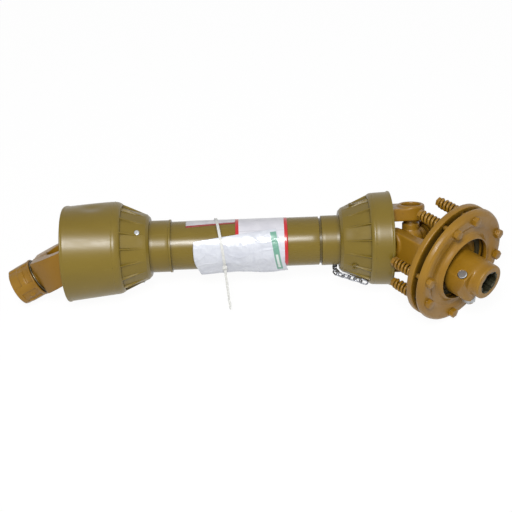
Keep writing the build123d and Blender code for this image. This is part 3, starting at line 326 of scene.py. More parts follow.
def softCasting(name, sources, voxel, passes, material, body):
    # a cast piece: the solids' own form, remeshed fine and eased so that every edge is rounded
    shape = bmesh.new()
    for source in sources:
        shape.from_mesh(nodes[source].data)
    bmesh.ops.remove_doubles(shape, verts=shape.verts, dist=2e-6)
    rough = bpy.data.meshes.new(name + "Rough")
    shape.to_mesh(rough)
    shape.free()
    holder = bpy.data.objects.new(name + "Rough", rough)
    bpy.context.scene.collection.objects.link(holder)
    remesh = holder.modifiers.new("voxels", "REMESH")
    remesh.mode = "VOXEL"
    remesh.voxel_size = voxel * 0.001
    remesh.adaptivity = 0
    even = bpy.data.meshes.new_from_object(holder.evaluated_get(bpy.context.evaluated_depsgraph_get()))
    bpy.data.objects.remove(holder)
    shape = bmesh.new()
    shape.from_mesh(even)
    for step in range(passes):
        bmesh.ops.smooth_vert(shape, verts=shape.verts, factor=0.5, use_axis_x=True, use_axis_y=True, use_axis_z=True)
    return finished(name, shape, None, material, body, sources, sharpAngle=180)


def lighter(piece, share):
    # the same form with fewer triangles
    fewer = piece.modifiers.new("fewer", "DECIMATE")
    fewer.ratio = share
    light = bpy.data.meshes.new_from_object(piece.evaluated_get(bpy.context.evaluated_depsgraph_get()))
    piece.modifiers.clear()
    piece.data = light


# guard cuffs: smooth flared cups with a rounded shoulder, the left one pressed flat and creased on top
leftCuff = {"rimX": -30, "rimR": 82, "shoulderX": 47, "shoulderR": 72.5, "footX": 59, "footR": 65.3, "wall": 2.5,
            "press": 13.5, "pressEnd": 47, "pressAngle": 79, "pressWidth": 62, "crease": 2.6, "creaseX": 14,
            "creaseLength": 26, "creaseAngle": 107, "creaseWidth": 15}
rightCuff = {"rimX": 474.5, "rimR": 74, "shoulderX": 446, "shoulderR": 71.5, "footX": 439, "footR": 66.05, "wall": 2.5}


def cuffProfile(size):
    way = 1 if size["rimX"] < size["shoulderX"] else -1
    rx, rr, sx, sr, wall = size["rimX"], size["rimR"], size["shoulderX"], size["shoulderR"], size["wall"]
    fx, fr = size["footX"], size["footR"]
    flare = (rr - sr) / abs(sx - rx)
    curve = [(sx + (fx - sx) * math.sin(t), fr + (sr - fr) * math.cos(t)) for t in (0.3, 0.6, 0.9, 1.15, 1.35, math.pi / 2)]
    return [(rx, rr - wall), (rx, rr - 0.4), (rx + way * 0.8, rr), (rx + way * 2.2, rr), (rx + way * 4.2, rr - 1.3),
            (sx - way * 6, sr + 6 * flare), (sx - way * 0.9, sr + 0.1), (sx - way * 0.3, sr + 0.35), (sx + way * 0.4, sr - 0.05),
            *curve, (fx, fr - 0.9), (sx, sr - wall), (sx - way * 10, sr - wall), (rx + way * 4, rr - 1.2 - wall)]


def fallOff(value):
    # a smooth hill from 1 at the middle to 0 at one width away
    return math.cos(min(abs(value), 1) * math.pi / 2) ** 2


def makeCuff(name, size, body, node):
    shape = turnedShape(cuffProfile(size), 192, 0.35, 2, longest=3.2)
    if "press" in size:
        for v in shape.verts:
            angle = math.degrees(math.atan2(v.co.z, v.co.y))
            across = ((angle - size["pressAngle"] + 180) % 360 - 180) / size["pressWidth"]
            depth = max((size["pressEnd"] - v.co.x) / (size["pressEnd"] - size["rimX"]), 0)
            push = size["press"] * depth ** 1.15 * fallOff(across)
            across = ((angle - size["creaseAngle"] + 180) % 360 - 180) / size["creaseWidth"]
            push += size["crease"] * fallOff(across) * fallOff((v.co.x - size["creaseX"]) / size["creaseLength"])
            reach = math.hypot(v.co.y, v.co.z)
            v.co.y *= 1 - push / reach
            v.co.z *= 1 - push / reach
    return finished(name, shape, shaftPlace, guardMaterial, body, [node], sharpAngle=50)


makeCuff("leftCuff", leftCuff, "left_guard", "left_guard_cuff")
makeCuff("rightCuff", rightCuff, "right_guard", "right_guard_cuff")
print("cuffs made")

# ribbed cones
leftCone = {"tipX": 97, "tipR": 50.5, "bigX": 47, "bigR": 72.5, "neckX": 133, "neckR": 40.6, "bore": 38.1,
            "ribs": 16, "ribHalf": 1.2, "ribRise": 3.4, "ribFrom": 59.3, "lip": 0.9}
rightCone = {"tipX": 398, "tipR": 50, "bigX": 446, "bigR": 71.5, "neckX": 367, "neckR": 38.9, "bore": 35.3,
             "ribs": 16, "ribHalf": 1.2, "ribRise": 3.4, "ribFrom": 438.7, "lip": 0}
screws = {"x": 83.7, "angle": 143, "count": 3, "radius": 4.6, "seat": 54.1}
bosses = {"x": 415.7, "angle": 213.3, "count": 3, "radius": 5.5, "height": 1.6, "seat": 56.45}


def conePiece(name, size, body, node):
    way = 1 if size["bigX"] < size["tipX"] else -1
    tx, tr, bx, br, nx, nr = (size[k] for k in ("tipX", "tipR", "bigX", "bigR", "neckX", "neckR"))
    skirt = br - 2.6
    floorBig = br - 4
    ribEnd = tx - way * 4
    profile = [(bx - way * 9, skirt), (bx, skirt), (bx + way * 0.2, floorBig), (tx - way * 0.8, tr + 0.3), (tx, tr - 0.7),
               (tx + way * 3.4, tr - 4.2), (tx + way * 3.5, nr)]
    if size["lip"]:
        profile += [(nx - way * 3.4, nr), (nx - way * 3.0, nr + size["lip"]), (nx, nr + size["lip"])]
    else:
        profile += [(nx, nr)]
    profile += [(nx, size["bore"]), (tx + way, size["bore"]), (tx + way, tr - 4.6), (tx, tr - 3),
                (bx, floorBig - 3), (bx - way * 9, skirt - 3)]
    shape = turnedShape(profile, 640, 0.3, 2, longest=6)
    gap = 360 / size["ribs"]
    for v in shape.verts:
        share = (v.co.x - ribEnd) / (size["ribFrom"] - ribEnd)
        reach = math.hypot(v.co.y, v.co.z)
        floor = tr + (floorBig - tr) * (v.co.x - tx) / (bx - tx)
        if not 0 <= share <= 1.6 or reach < floor - 1.2 or (v.co.x - bx) * way < -0.1:
            continue
        angle = math.degrees(math.atan2(v.co.z, v.co.y))
        # between ribs the wall is nearly flat
        panel = math.radians((angle % gap + gap / 2) % gap - gap / 2)
        flat = 1 - 0.85 * min(share * 4, 1) * (1 - math.cos(math.radians(gap / 2)) / math.cos(panel))
        v.co.y *= flat
        v.co.z *= flat
        reach *= flat
        off = abs(angle % gap - gap / 2) * math.pi / 180 * reach
        edge = min(max((off - size["ribHalf"] + 0.3) / 0.6, 0), 1)
        rise = size["ribRise"] * min(share, 1) * (1 - edge * edge * (3 - 2 * edge))
        grow = (reach + rise) / reach
        v.co.y *= grow
        v.co.z *= grow
    return finished(name, shape, shaftPlace, guardMaterial, body, [node], sharpAngle=42)


conePiece("leftCone", leftCone, "left_guard", "left_guard_cone")
conePiece("rightCone", rightCone, "right_guard", "right_guard_cone")
print("cones made")


def outwardPlace(radius, angle, x):
    spoke = Vector((0, math.cos(math.radians(angle)), math.sin(math.radians(angle))))
    turn = Matrix((Vector((1, 0, 0)), spoke.cross(Vector((1, 0, 0))), spoke)).transposed().to_4x4()
    return shaftPlace @ Matrix.Translation(Vector((x, 0, 0)) + spoke * radius) @ turn


# guard screws with cross slots, and the moulded bosses of the other cone
shape = bmesh.new()
for n in range(screws["count"]):
    one = bmesh.new()
    bmesh.ops.create_cone(one, cap_ends=True, segments=32, radius1=screws["radius"], radius2=screws["radius"] * 0.86, depth=2.4)
    top = [f for f in one.faces if f.normal.z > 0.9]
    bmesh.ops.bevel(one, geom=[e for f in top for e in f.edges], offset=0.7, segments=3, profile=0.5, material=-1, affect="EDGES")
    for turn in (0, math.pi / 2):
        slot = bmesh.new()
        bmesh.ops.create_cube(slot, size=1)
        bmesh.ops.scale(slot, vec=(6.2, 1.0, 0.5), verts=slot.verts)
        bmesh.ops.rotate(slot, cent=(0, 0, 0), matrix=Matrix.Rotation(turn + 0.4, 3, "Z"), verts=slot.verts)
        bmesh.ops.translate(slot, vec=(0, 0, 1.05), verts=slot.verts)
        held = bpy.data.meshes.new("slotHeld")
        slot.to_mesh(held)
        slot.free()
        one.from_mesh(held)
    place = outwardPlace(screws["seat"] + 1.2, screws["angle"] + n * 120, screws["x"])
    bmesh.ops.transform(one, matrix=place, verts=one.verts)
    held = bpy.data.meshes.new("screwHeld")
    one.to_mesh(held)
    one.free()
    shape.from_mesh(held)
finished("guardScrews", shape, None, zincMaterial, "left_guard", ["left_guard_screws"])

shape = bmesh.new()
for n in range(bosses["count"]):
    one = bmesh.new()
    bmesh.ops.create_circle(one, cap_ends=True, segments=40, radius=bosses["radius"])
    face = one.faces[:]
    ring = bmesh.ops.extrude_face_region(one, geom=face)
    lifted = [v for v in ring["geom"] if isinstance(v, bmesh.types.BMVert)]
    bmesh.ops.translate(one, vec=(0, 0, bosses["height"] + 2.6), verts=lifted)
    one.normal_update()
    top = [f for f in one.faces if f.normal.z > 0.9]
    bmesh.ops.inset_region(one, faces=top, thickness=1.6, depth=0)
    bmesh.ops.inset_region(one, faces=[f for f in one.faces if f.normal.z > 0.9 and len(f.verts) > 8], thickness=0.5, depth=-1.2)
    bmesh.ops.translate(one, vec=(0, 0, -2.6), verts=one.verts)
    place = outwardPlace(bosses["seat"], bosses["angle"] + n * 120, bosses["x"])
    bmesh.ops.transform(one, matrix=place, verts=one.verts)
    held = bpy.data.meshes.new("bossHeld")
    one.to_mesh(held)
    one.free()
    shape.from_mesh(held)
finished("coneBosses", shape, None, guardMaterial, "right_guard", ())
print("screws and bosses made")

# guard tubes
tubes = {"outer": (101, 363, 38.0), "inner": (150, 394, 35.2), "wall": 2.5}
for name, body, node in (("outer", "left_guard", "outer_guard_tube"), ("inner", "right_guard", "inner_guard_tube")):
    start, end, radius = tubes[name]
    profile = [(start, radius - tubes["wall"]), (start, radius), (end, radius), (end, radius - tubes["wall"])]
    shape = turnedShape(profile, 160, 0.5, 3, longest=12)
    finished(name + "Tube", shape, shaftPlace, tubeMaterial, body, [node])
print("tubes made")

# castings
castings = {}
for name, source, voxel, passes, body in (
        ("leftYokeCasting", "left_outer_yoke", 0.9, 12, "left_yoke"),
        ("leftInnerYokeCasting", "left_inner_yoke", 1.1, 6, "drive_outer"),
        ("rightInnerYokeCasting", "right_inner_yoke", 1.0, 10, "drive_inner"),
        ("flangeYokeCasting", "flange_yoke", 1.15, 8, "clutch"),
        ("clutchHubCasting", "clutch_hub", 0.9, 7, "clutch_hub"),
        ("leftCrossCasting", "left_cross", 0.9, 5, "left_cross"),
        ("rightCrossCasting", "right_cross", 0.9, 5, "right_cross"),
        ("pullCollarCasting", "pull_collar", 0.6, 3, "collar")):
    castings[name] = softCasting(name, [source], voxel, passes, paintMaterial, body)

# finger pockets cast into the pull collar: (from angle, to angle, from x, to x, depth)
collar = {"radius": 29.8, "hollow": 27.5, "way": -1, "halves": 2, "soft": 0.9, "button": (48, 107, 4.8, 1.9),
          "pockets": [(-68, 3, 93.2, 103.6, 2.1), (-68, 2, 112.4, 130, 1.8), (26, 70, 95.4, 121, 2.1)]}
yokeBack = yokePlace.inverted()
toEye = yokeBack @ (shaftPlace @ eye)
collarTurn = math.degrees(math.atan2(toEye.z, toEye.y))
for v in castings["pullCollarCasting"].data.vertices:
    spot = yokeBack @ v.co
    reach = math.hypot(spot.y, spot.z)
    # the wall of the hollow for the spring and the balls stays where it is
    share = min((reach - collar["hollow"]) / (collar["radius"] - collar["hollow"]), 1)
    if share <= 0:
        continue
    angle = math.degrees(math.atan2(spot.z, spot.y)) - collarTurn
    step = 360 / collar["halves"]
    depth = 0
    for low, high, near, far, deep in collar["pockets"]:
        middle, half = (low + high) / 2, (high - low) / 2
        off = abs((angle * collar["way"] - middle + step / 2) % step - step / 2)
        edge = min((half - off) * math.pi / 180 * reach, spot.x - near, far - spot.x)
        depth = max(depth, deep * min(max(edge / collar["soft"], 0), 1))
    around, along, radius, rise = collar["button"]
    off = abs((angle * collar["way"] - around + step / 2) % step - step / 2) * math.pi / 180 * reach
    depth -= rise * min(max((radius - math.hypot(off, spot.x - along)) / 1.2, 0), 1) if depth > 0 else 0
    if depth > 0:
        spot.y *= 1 - depth * share / reach
        spot.z *= 1 - depth * share / reach
        v.co = yokePlace @ spot


def oilAndShadeInBore(piece, place, start, radius):
    # machined steel inside a splined bore, darkened partly by oil and partly as painted shade deep in the bore
    piece.data.materials.append(boreOilAndShadeMaterial)
    back = place.inverted()
    for face in piece.data.polygons:
        spot = back @ face.center
        if spot.x > start and math.hypot(spot.y, spot.z) < radius:
            face.material_index = 1


for piece in castings.values():
    lighter(piece, 0.42)
oilAndShadeInBore(castings["leftYokeCasting"], yokePlace, 60, 18.1)
oilAndShadeInBore(castings["clutchHubCasting"], clutchPlace, 90, 18.1)
print("castings made")

# pressed clutch cover
coverProfile = [(94, 93), (97, 93), (101.5, 91.4), (104.6, 88.2), (105.5, 85), (105.5, 76), (104.4, 71.5), (101.9, 66),
                (101.8, 59), (103.2, 56.2), (107.6, 53.4), (109.7, 51.6), (110, 50.6), (109.2, 50), (105, 50), (101.2, 52),
                (97.8, 56.5), (97.8, 66.5), (101, 73), (101.5, 86), (98.6, 88.4), (94, 89.6)]
shape = turnedShape(coverProfile, 224, 0.8, 3, longest=4)
finished("clutchCoverPressing", shape, clutchPlace, paintMaterial, "clutch", ["clutch_cover"], sharpAngle=60)

# bolts, nuts and springs round the clutch
boltSet = {"circle": 80.4, "phase": 19.3, "spread": 15, "radius": 4, "across": 13, "headX": 105.5, "headHeight": 7,
           "tipX": 34, "nutX": 35, "nutHeight": 6.5}
springSet = {"radius": 8.8, "wire": 4.4, "turns": 4.5, "start": 41.6, "end": 73.9}
boltAngles = [boltSet["phase"] + 90 * quarter + s * boltSet["spread"] for quarter in range(4) for s in (-1, 1)]


def alongX(shape):
    bmesh.ops.rotate(shape, cent=(0, 0, 0), matrix=Matrix.Rotation(math.pi / 2, 3, "Y"), verts=shape.verts)


def gather(target, part):
    held = bpy.data.meshes.new("held")
    part.to_mesh(held)
    part.free()
    target.from_mesh(held)
    bpy.data.meshes.remove(held)


def hexBlock(x, height, turn, crown):
    one = bmesh.new()
    bmesh.ops.create_cone(one, cap_ends=True, segments=6, radius1=boltSet["across"] / math.sqrt(3),
                          radius2=boltSet["across"] / math.sqrt(3), depth=height)
    rims = [e for e in one.edges if abs(e.verts[0].co.z - e.verts[1].co.z) < 1e-4 and (crown == 0 or e.verts[0].co.z * crown > 0)]
    bmesh.ops.bevel(one, geom=rims, offset=0.8, segments=2, profile=0.5, material=-1, affect="EDGES")
    alongX(one)
    bmesh.ops.rotate(one, cent=(0, 0, 0), matrix=Matrix.Rotation(turn, 3, "X"), verts=one.verts)
    bmesh.ops.translate(one, vec=(x + height / 2, 0, 0), verts=one.verts)
    return one


def roundRod(x, end, radius, segments=32, bevel=0.5):
    one = bmesh.new()
    bmesh.ops.create_cone(one, cap_ends=True, segments=segments, radius1=radius, radius2=radius, depth=end - x)
    rims = [e for e in one.edges if abs(e.verts[0].co.z - e.verts[1].co.z) < 1e-4]
    if bevel:
        bmesh.ops.bevel(one, geom=rims, offset=bevel, segments=2, profile=0.5, material=-1, affect="EDGES")
    alongX(one)
    bmesh.ops.translate(one, vec=((x + end) / 2, 0, 0), verts=one.verts)
    return one


bolts, nuts, coils = bmesh.new(), bmesh.new(), bmesh.new()
for number, angle in enumerate(boltAngles):
    spot = Vector((0, boltSet["circle"] * math.cos(math.radians(angle)), boltSet["circle"] * math.sin(math.radians(angle))))
    bolt = hexBlock(boltSet["headX"], boltSet["headHeight"], 0.3 + number * 0.7, 1)
    gather(bolt, roundRod(boltSet["headX"] - 0.4, boltSet["headX"] + 0.9, 7.2))
    gather(bolt, roundRod(boltSet["tipX"], boltSet["headX"], boltSet["radius"]))
    nut = hexBlock(boltSet["nutX"], boltSet["nutHeight"], math.radians(angle), 0)
    gather(nut, roundRod(boltSet["nutX"] + boltSet["nutHeight"] - 0.8, boltSet["nutX"] + boltSet["nutHeight"] + 0.3, 8.2))
    coil = bmesh.new()
    wire, middle = springSet["wire"] / 2, springSet["radius"] - springSet["wire"] / 2
    bmesh.ops.create_circle(coil, segments=12, radius=wire)
    bmesh.ops.rotate(coil, cent=(0, 0, 0), matrix=Matrix.Rotation(math.pi / 2, 3, "X"), verts=coil.verts)
    bmesh.ops.translate(coil, vec=(springSet["start"] + wire, 0, middle), verts=coil.verts)
    steps = int(springSet["turns"] * 28)
    climb = (springSet["end"] - springSet["start"] - springSet["wire"]) / steps
    bmesh.ops.spin(coil, geom=list(coil.verts) + list(coil.edges), cent=(0, 0, 0), axis=(1, 0, 0), dvec=(climb, 0, 0),
                   angle=math.tau * springSet["turns"], steps=steps, use_merge=False)
    ends = [e for e in coil.edges if e.is_boundary]
    bmesh.ops.holes_fill(coil, edges=ends, sides=0)
    for part, target in ((bolt, bolts), (nut, nuts), (coil, coils)):
        bmesh.ops.translate(part, vec=spot, verts=part.verts)
        gather(target, part)
finished("clutchBoltSet", bolts, clutchPlace, paintMaterial, "clutch", ["clutch_bolts"])
finished("clutchNutSet", nuts, clutchPlace, paintMaterial, "clutch", ["clutch_nuts"])
finished("clutchSpringSet", coils, clutchPlace, paintMaterial, "clutch", ["clutch_springs"], sharpAngle=80)
print("clutch made")

# label with plain red borders
label = {"start": 233.5, "end": 314, "from": 60, "to": 236, "radius": 38.25, "edge": 5.2, "tapeStart": 157,
         "tapeLow": 121, "tapeHigh": 111}


def wrapped(columns, rows, spotOf, name):
    # a sheet from a grid, with its own coordinates kept as a UV map
    shape = bmesh.new()
    bmesh.ops.create_grid(shape, x_segments=columns, y_segments=rows, size=0.5)
    uv = shape.loops.layers.uv.new(name)
    for face in shape.faces:
        for loop in face.loops:
            loop[uv].uv = (loop.vert.co.x + 0.5, loop.vert.co.y + 0.5)
    for v in shape.verts:
        v.co = spotOf(v.co.x + 0.5, v.co.y + 0.5)
    return shape


def onTube(x, angle, radius):
    return Vector((x, radius * math.cos(math.radians(angle)), radius * math.sin(math.radians(angle))))


def thickened(piece, thickness, offset=1.0):
    solid = piece.modifiers.new("thickness", "SOLIDIFY")
    solid.thickness = thickness * 0.001
    solid.offset = offset
    return piece


made = Finish("labelFilm")
uvSpot = made.node("ShaderNodeUVMap", {"uv_map": "sheet"}, {})
across = made.node("ShaderNodeSeparateXYZ", {}, {0: uvSpot}, "X")
edgeShare = label["edge"] / (label["end"] - label["start"])
redMask = ((across < edgeShare) + (across > 1 - edgeShare)).capped()
film = made.blend(made.band(made.noise(60, 3), 0.3, 0.7), tone(226, 225, 232), tone(216, 215, 223))
rule = ((made.node("ShaderNodeSeparateXYZ", {}, {0: uvSpot}, "Y") - 0.44) * 400)
ruleMask = (1 - made.node("ShaderNodeMath", {"operation": "ABSOLUTE"}, {0: rule})).capped() * (1 - redMask) * 0.7
film = made.blend(ruleMask, film, tone(70, 70, 80))
made.set(Base_Color=made.blend(redMask, film, tone(196, 22, 30)), Roughness=0.28 + made.noise(220) * 0.1,
         Coat_Weight=0.3, Normal=made.bump(made.noise(90, 2), 0.0002, 0.4))
labelMaterial = made.material
shape = wrapped(40, 96, lambda u, v: onTube(label["start"] + (label["end"] - label["start"]) * u,
                                            label["from"] + (label["to"] - label["from"]) * v, label["radius"]), "sheet")
labelPiece = finished("tubeLabel", shape, shaftPlace, labelMaterial, "left_guard", ["label_sticker"])
thickened(labelPiece, 0.2, 0)

made = Finish("tapeFilm")
down = made.node("ShaderNodeSeparateXYZ", {}, {0: made.node("ShaderNodeUVMap", {"uv_map": "sheet"}, {})}, "Y")
film = made.blend(made.band(made.noise(60, 3), 0.3, 0.7), tone(226, 224, 228), tone(206, 204, 210))
made.set(Base_Color=made.blend(down > 0.9, film, tone(150, 40, 34)), Roughness=0.3 + made.noise(220) * 0.1,
         Normal=made.bump(made.noise(90, 2), 0.0002, 0.4))
shape = wrapped(40, 40, lambda u, v: onTube(label["tapeStart"] + (label["start"] - label["tapeStart"]) * u,
                                            label["from"] + (label["tapeLow"] + (label["tapeHigh"] - label["tapeLow"]) * u
                                                             - label["from"]) * v, label["radius"]), "sheet")
tapePiece = finished("tubeTape", shape, shaftPlace, made.material, "left_guard", ())
thickened(tapePiece, 0.2, 0)
print("label made")

# document pouch: a soft film sleeve wrapped under the strap, its hem hanging clear
pouch = {"topLeft": (168.4, 159.2), "topRight": (296.4, 133.3), "lowLeft": (184.6, 254.5), "lowRight": (313.7, 254.6),
         "radius": 38.75, "leaves": 224.5, "crease": 0.9, "bulge": 8.6, "tieX": 211}


def pouchSpot(u, v):
    topX = pouch["topLeft"][0] + (pouch["topRight"][0] - pouch["topLeft"][0]) * u
    lowX = pouch["lowLeft"][0] + (pouch["lowRight"][0] - pouch["lowLeft"][0]) * u
    topA = pouch["topLeft"][1] + (pouch["topRight"][1] - pouch["topLeft"][1]) * u
    lowA = pouch["lowLeft"][1] + (pouch["lowRight"][1] - pouch["lowLeft"][1]) * u
    x = topX + (lowX - topX) * v - pouch["bulge"] * math.sin(math.pi * min(v / 1.4, 1)) * (1 - u) ** 3
    angle = topA + (lowA - topA) * v
    fold = noise.noise(Vector((x * 0.045, angle * 0.03, 3.1))) + 0.5 * noise.noise(Vector((x * 0.11, angle * 0.07, 7.7)))
    sharp = 1 - abs(noise.noise(Vector((x * 0.03 + angle * 0.02, angle * 0.035 - x * 0.02, 1.3)))) * 5
    near = min(abs(x - pouch["tieX"]) / 12, 1)
    puff = (max(fold, 0) * 1.1 + max(sharp, 0) * 0.7) * pouch["crease"] * near * min(v * 4, 1)
    radius = pouch["radius"] + puff
    past = angle - pouch["leaves"]
    if past > 0:
        radius = (pouch["radius"] + 0.1) / math.cos(math.radians(past)) + puff * 0.6
        radius += math.sin(u * 9 + 1.2) * 1.2 * (past / 30) * near
    return onTube(x, angle, radius)


made = Finish("pouchFilm")
uvSpot = made.node("ShaderNodeUVMap", {"uv_map": "sheet"}, {})
across = made.node("ShaderNodeSeparateXYZ", {}, {0: uvSpot}, "X")
down = made.node("ShaderNodeSeparateXYZ", {}, {0: uvSpot}, "Y")
wave = made.noise(46, 4, 0.6, warp=1.2)
film = made.blend(made.band(wave, 0.3, 0.7), tone(222, 225, 233), tone(206, 209, 219))
lean = across - 0.045 * (1 - down)
stripe = made.band(lean, 0.872, 0.878) * made.band(lean, 0.944, 0.95, 1.0, 0.0) * made.band(down, 0.05, 0.07) * made.band(down, 0.93, 0.95, 1.0, 0.0)
patch = made.band(lean, 0.893, 0.897) * made.band(lean, 0.922, 0.926, 1.0, 0.0) * made.band(down, 0.5, 0.51) * made.band(down, 0.88, 0.89, 1.0, 0.0)
film = made.blend(stripe * 0.9, film, tone(92, 160, 134))
film = made.blend(patch * stripe, film, tone(222, 232, 228))
seam = made.band(down, 0.955, 0.96) * made.band(down, 0.968, 0.973, 1.0, 0.0)
film = made.blend(seam * 0.4, film, tone(150, 152, 160))
made.set(Base_Color=film, Roughness=0.24 + made.band(wave, 0.3, 0.7) * 0.14, Coat_Weight=0.4, Coat_Roughness=0.15,
         Normal=made.bump(made.noise(30, 5, 0.6, warp=2.0), 0.0022, 0.6))
shape = wrapped(150, 110, pouchSpot, "sheet")
pouchPiece = finished("documentPouch", shape, shaftPlace, made.material, "left_guard", ["document_pouch"], sharpAngle=180)
thickened(pouchPiece, 0.5, 0)
print("pouch made")

# cable tie: a slanted band, its head and the long tail
strap = {"station": 208.5, "leanY": -0.106, "leanZ": -0.117, "inner": 39.75, "thickness": 1.2, "width": 4.4,
         "headAngle": 227, "head": 7.6, "tail": 66, "tailX": 5.9, "tailY": -2.0}
profile = [(-strap["width"] / 2, strap["inner"]), (-strap["width"] / 2, strap["inner"] + strap["thickness"]),
           (strap["width"] / 2, strap["inner"] + strap["thickness"]), (strap["width"] / 2, strap["inner"])]
band = turnedShape(profile, 160, 0.25, 2)
slant = Matrix.Identity(4)
slant[0][1], slant[0][2], slant[0][3] = strap["leanY"], strap["leanZ"], strap["station"]
bmesh.ops.transform(band, matrix=slant, verts=band.verts)
headSpot = slant @ onTube(0, strap["headAngle"], strap["inner"] + 3.0)
block = bmesh.new()
bmesh.ops.create_cube(block, size=1)
bmesh.ops.scale(block, vec=(strap["head"], strap["head"], 5.6), verts=block.verts)
bmesh.ops.bevel(block, geom=block.edges[:], offset=1.1, segments=3, profile=0.5, material=-1, affect="EDGES")
bmesh.ops.rotate(block, cent=(0, 0, 0), matrix=Matrix.Rotation(math.radians(strap["headAngle"] - 90), 3, "X"), verts=block.verts)
bmesh.ops.translate(block, vec=headSpot, verts=block.verts)
gather(band, block)
tail = bmesh.new()
bmesh.ops.create_grid(tail, x_segments=4, y_segments=60, size=0.5)
for v in tail.verts:
    along = 0.5 - v.co.y
    half = strap["width"] / 2 - 0.25 - (max(along - 0.93, 0) * 18)
    v.co = Vector((headSpot.x + v.co.x * 2 * max(half, 0.6) + strap["tailX"] * along,
                   headSpot.y - 0.5 + strap["tailY"] * along + 1.3 * math.sin(along * 2.6),
                   headSpot.z - strap["tail"] * along))
faces = tail.faces[:]
bmesh.ops.solidify(tail, geom=faces, thickness=1.2)
gather(band, tail)
finished("cableTie", band, shaftPlace, strapMaterial, "left_guard", ["cable_tie"])
print("strap made")

# safety chain: real round links along the same line as the solid's
chain = {"wire": 2.4, "length": 15.5, "width": 10, "play": 1.2, "angle": -112.5, "farAngle": 50, "neckX": 388.5, "lift": 5}
sweep = chain["farAngle"] - chain["angle"]
neckLift = rightCone["neckR"] + chain["lift"]
coneSlope = (rightCone["bigR"] - 4 - rightCone["tipR"]) / (rightCone["bigX"] - rightCone["tipX"])
marks = [(x, 0, rightCone["tipR"] + coneSlope * (x - rightCone["tipX"]) + chain["lift"] + 0.8) for x in (438, 420, 406)]
marks += [(396.5, 0, rightCone["tipR"] + chain["lift"] + 1.2), (387.5, 0.045, neckLift + 6.5)]
marks += [(chain["neckX"], share, neckLift + more) for share, more in ((0.17, 0.6), (0.3, 0.3), (0.5, 0), (0.75, 0), (1, 0))]
lineCurve = bpy.data.curves.new("chainLine", "CURVE")
lineCurve.dimensions = "3D"
spline = lineCurve.splines.new("NURBS")
spline.points.add(len(marks) - 1)
for point, (x, share, radius) in zip(spline.points, marks):
    point.co = (*onTube(x, chain["angle"] + share * sweep, radius), 1)
spline.order_u = 3
spline.use_endpoint_u = True
spline.resolution_u = 24
lineObject = bpy.data.objects.new("chainLine", lineCurve)
bpy.context.scene.collection.objects.link(lineObject)
lineMesh = bpy.data.meshes.new_from_object(lineObject.evaluated_get(bpy.context.evaluated_depsgraph_get()))
track = [v.co.copy() for v in lineMesh.vertices]
bpy.data.objects.remove(lineObject)


def trackAt(distance):
    for a, b in zip(track, track[1:]):
        step = (b - a).length
        if distance <= step:
            return a + (b - a) * (distance / step), (b - a).normalized()
        distance -= step
    return track[-1], (track[-1] - track[-2]).normalized()


trackLength = sum((b - a).length for a, b in zip(track, track[1:]))
pitch = chain["length"] - 2 * chain["wire"] - chain["play"]
links = bmesh.new()
for n in range(int((trackLength - chain["length"]) / pitch)):
    here, along = trackAt(chain["length"] / 2 + n * pitch)
    spoke = Vector((0, here.y, here.z)).normalized()
    level = along.cross(spoke).normalized()
    up = (level + along.cross(level) * (1 if n % 2 else -1)).normalized()
    one = bmesh.new()
    bmesh.ops.create_circle(one, segments=10, radius=chain["wire"] / 2)
    bmesh.ops.rotate(one, cent=(0, 0, 0), matrix=Matrix.Rotation(math.pi / 2, 3, "X"), verts=one.verts)
    bmesh.ops.translate(one, vec=((chain["width"] - chain["wire"]) / 2, 0, 0), verts=one.verts)
    bmesh.ops.spin(one, geom=list(one.verts) + list(one.edges), cent=(0, 0, 0), axis=(0, 0, 1), angle=math.tau, steps=32, use_merge=True)
    stretch = (chain["length"] - chain["width"]) / 2
    for v in one.verts:
        middle = Vector((v.co.x, v.co.y, 0)).normalized().y
        v.co.y += stretch * (1 if middle > 0.05 else -1 if middle < -0.05 else 0)
    turn = Matrix((up.cross(along) * -1, along, up)).transposed()
    bmesh.ops.transform(one, matrix=Matrix.Translation(here) @ turn.to_4x4(), verts=one.verts)
    gather(links, one)
finished("safetyChain", links, shaftPlace, zincSteel("chainZinc", (150, 152, 158), 0.28), "right_guard", ["safety_chain"], sharpAngle=180)
print("chain made")

# what stays as the solids show it gets its own finish
solidFinish = {
    "zinc_steel": zincMaterial, "spring_steel": springSteelMaterial, "friction_lining": liningAndGapShadeMaterial,
    "bush_metal": bushMaterial, "bearing_plastic": nylonMaterial, "painted_steel": paintMaterial,
    "guard_plastic": guardMaterial, "label_film": labelMaterial, "white_strap": strapMaterial, "white_pouch": strapMaterial,
}
slotOf = {part["node"]: part["material_slot"] for part in frame["record"]["subparts"]}
for name, holder in nodes.items():
    material = solidFinish[slotOf[name]]
    if holder.data.materials:
        for index in range(len(holder.data.materials)):
            holder.data.materials[index] = material
    else:
        holder.data.materials.append(material)
print("solids finished")

# pale floor and soft studio light
stage = {"floor": 40.0, "shade": 0.94, "glow": 1.02, "ambient": 0.1}
floorMesh = bmesh.new()
bmesh.ops.create_grid(floorMesh, x_segments=1, y_segments=1, size=stage["floor"] / 2)
floorData = bpy.data.meshes.new("floor")
floorMesh.to_mesh(floorData)
floorMesh.free()
floor = bpy.data.objects.new("floor", floorData)
bpy.context.scene.collection.objects.link(floor)
made = Finish("paleFloor")
seen, glossy, clear = (made.node("ShaderNodeLightPath", {}, {}, ray)
                       for ray in ("Is Camera Ray", "Is Glossy Ray", "Is Transmission Ray"))
made.set(Base_Color=made.blend(made.noise(3), tone(236, 236, 236), tone(240, 240, 240)), Roughness=0.9)
glow = made.tree.nodes.new("ShaderNodeEmission")
glow.inputs["Strength"].default_value = stage["glow"]
mixed = made.tree.nodes.new("ShaderNodeMixShader")
made.feed(mixed.inputs[0], (seen + glossy + clear).capped() * stage["shade"])
made.tree.links.new(made.shader.outputs[0], mixed.inputs[1])
made.tree.links.new(glow.outputs[0], mixed.inputs[2])
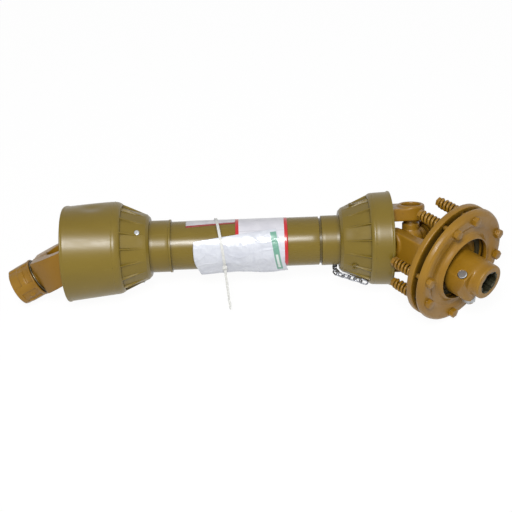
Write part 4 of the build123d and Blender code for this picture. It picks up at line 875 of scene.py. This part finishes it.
made.tree.links.new(mixed.outputs[0], made.end.inputs["Surface"])
floorData.materials.append(made.material)

world = bpy.data.worlds.new("studio")
bpy.context.scene.world = world
world.use_nodes = True
sky = world.node_tree
sky.nodes.clear()
ambient = sky.nodes.new("ShaderNodeBackground")
ambient.inputs["Color"].default_value = (1, 1, 1, 1)
ambient.inputs["Strength"].default_value = stage["ambient"]
white = sky.nodes.new("ShaderNodeBackground")
white.inputs["Color"].default_value = (1, 1, 1, 1)
rays = sky.nodes.new("ShaderNodeLightPath")
pick = sky.nodes.new("ShaderNodeMixShader")
out = sky.nodes.new("ShaderNodeOutputWorld")
either = sky.nodes.new("ShaderNodeMath")
anyRay = sky.nodes.new("ShaderNodeMath")
either.operation = anyRay.operation = "MAXIMUM"
sky.links.new(rays.outputs["Is Camera Ray"], either.inputs[0])
sky.links.new(rays.outputs["Is Glossy Ray"], either.inputs[1])
sky.links.new(either.outputs[0], anyRay.inputs[0])
sky.links.new(rays.outputs["Is Transmission Ray"], anyRay.inputs[1])
sky.links.new(anyRay.outputs[0], pick.inputs[0])
sky.links.new(ambient.outputs[0], pick.inputs[1])
sky.links.new(white.outputs[0], pick.inputs[2])
sky.links.new(pick.outputs[0], out.inputs["Surface"])

# lamps: (across, up, towards the camera) in metres round the middle of the shaft
lamps = {
    "keyLamp": {"at": (-0.1, 0.4, 1.9), "size": 0.5, "power": 34},
    "fillLamp": {"at": (1.3, 0.4, 1.3), "size": 0.9, "power": 2.5},
}
middleSpot = shaftPlace @ Vector((264, 0, 0))
for name, lamp in lamps.items():
    data = bpy.data.lights.new(name, "AREA")
    data.energy = lamp["power"]
    data.shape = "SQUARE"
    data.size = lamp["size"]
    holder = bpy.data.objects.new(name, data)
    right, up, near = lamp["at"]
    spot = middleSpot + shaftTurn @ (side * right + over * up - ahead * near)
    spot.z = max(spot.z, 0.5)
    holder.matrix_world = Matrix.Translation(spot) @ (spot - middleSpot).to_track_quat("Z", "Y").to_matrix().to_4x4()
    bpy.context.scene.collection.objects.link(holder)
bpy.context.scene.view_settings.view_transform = "Standard"
print("stage lit")
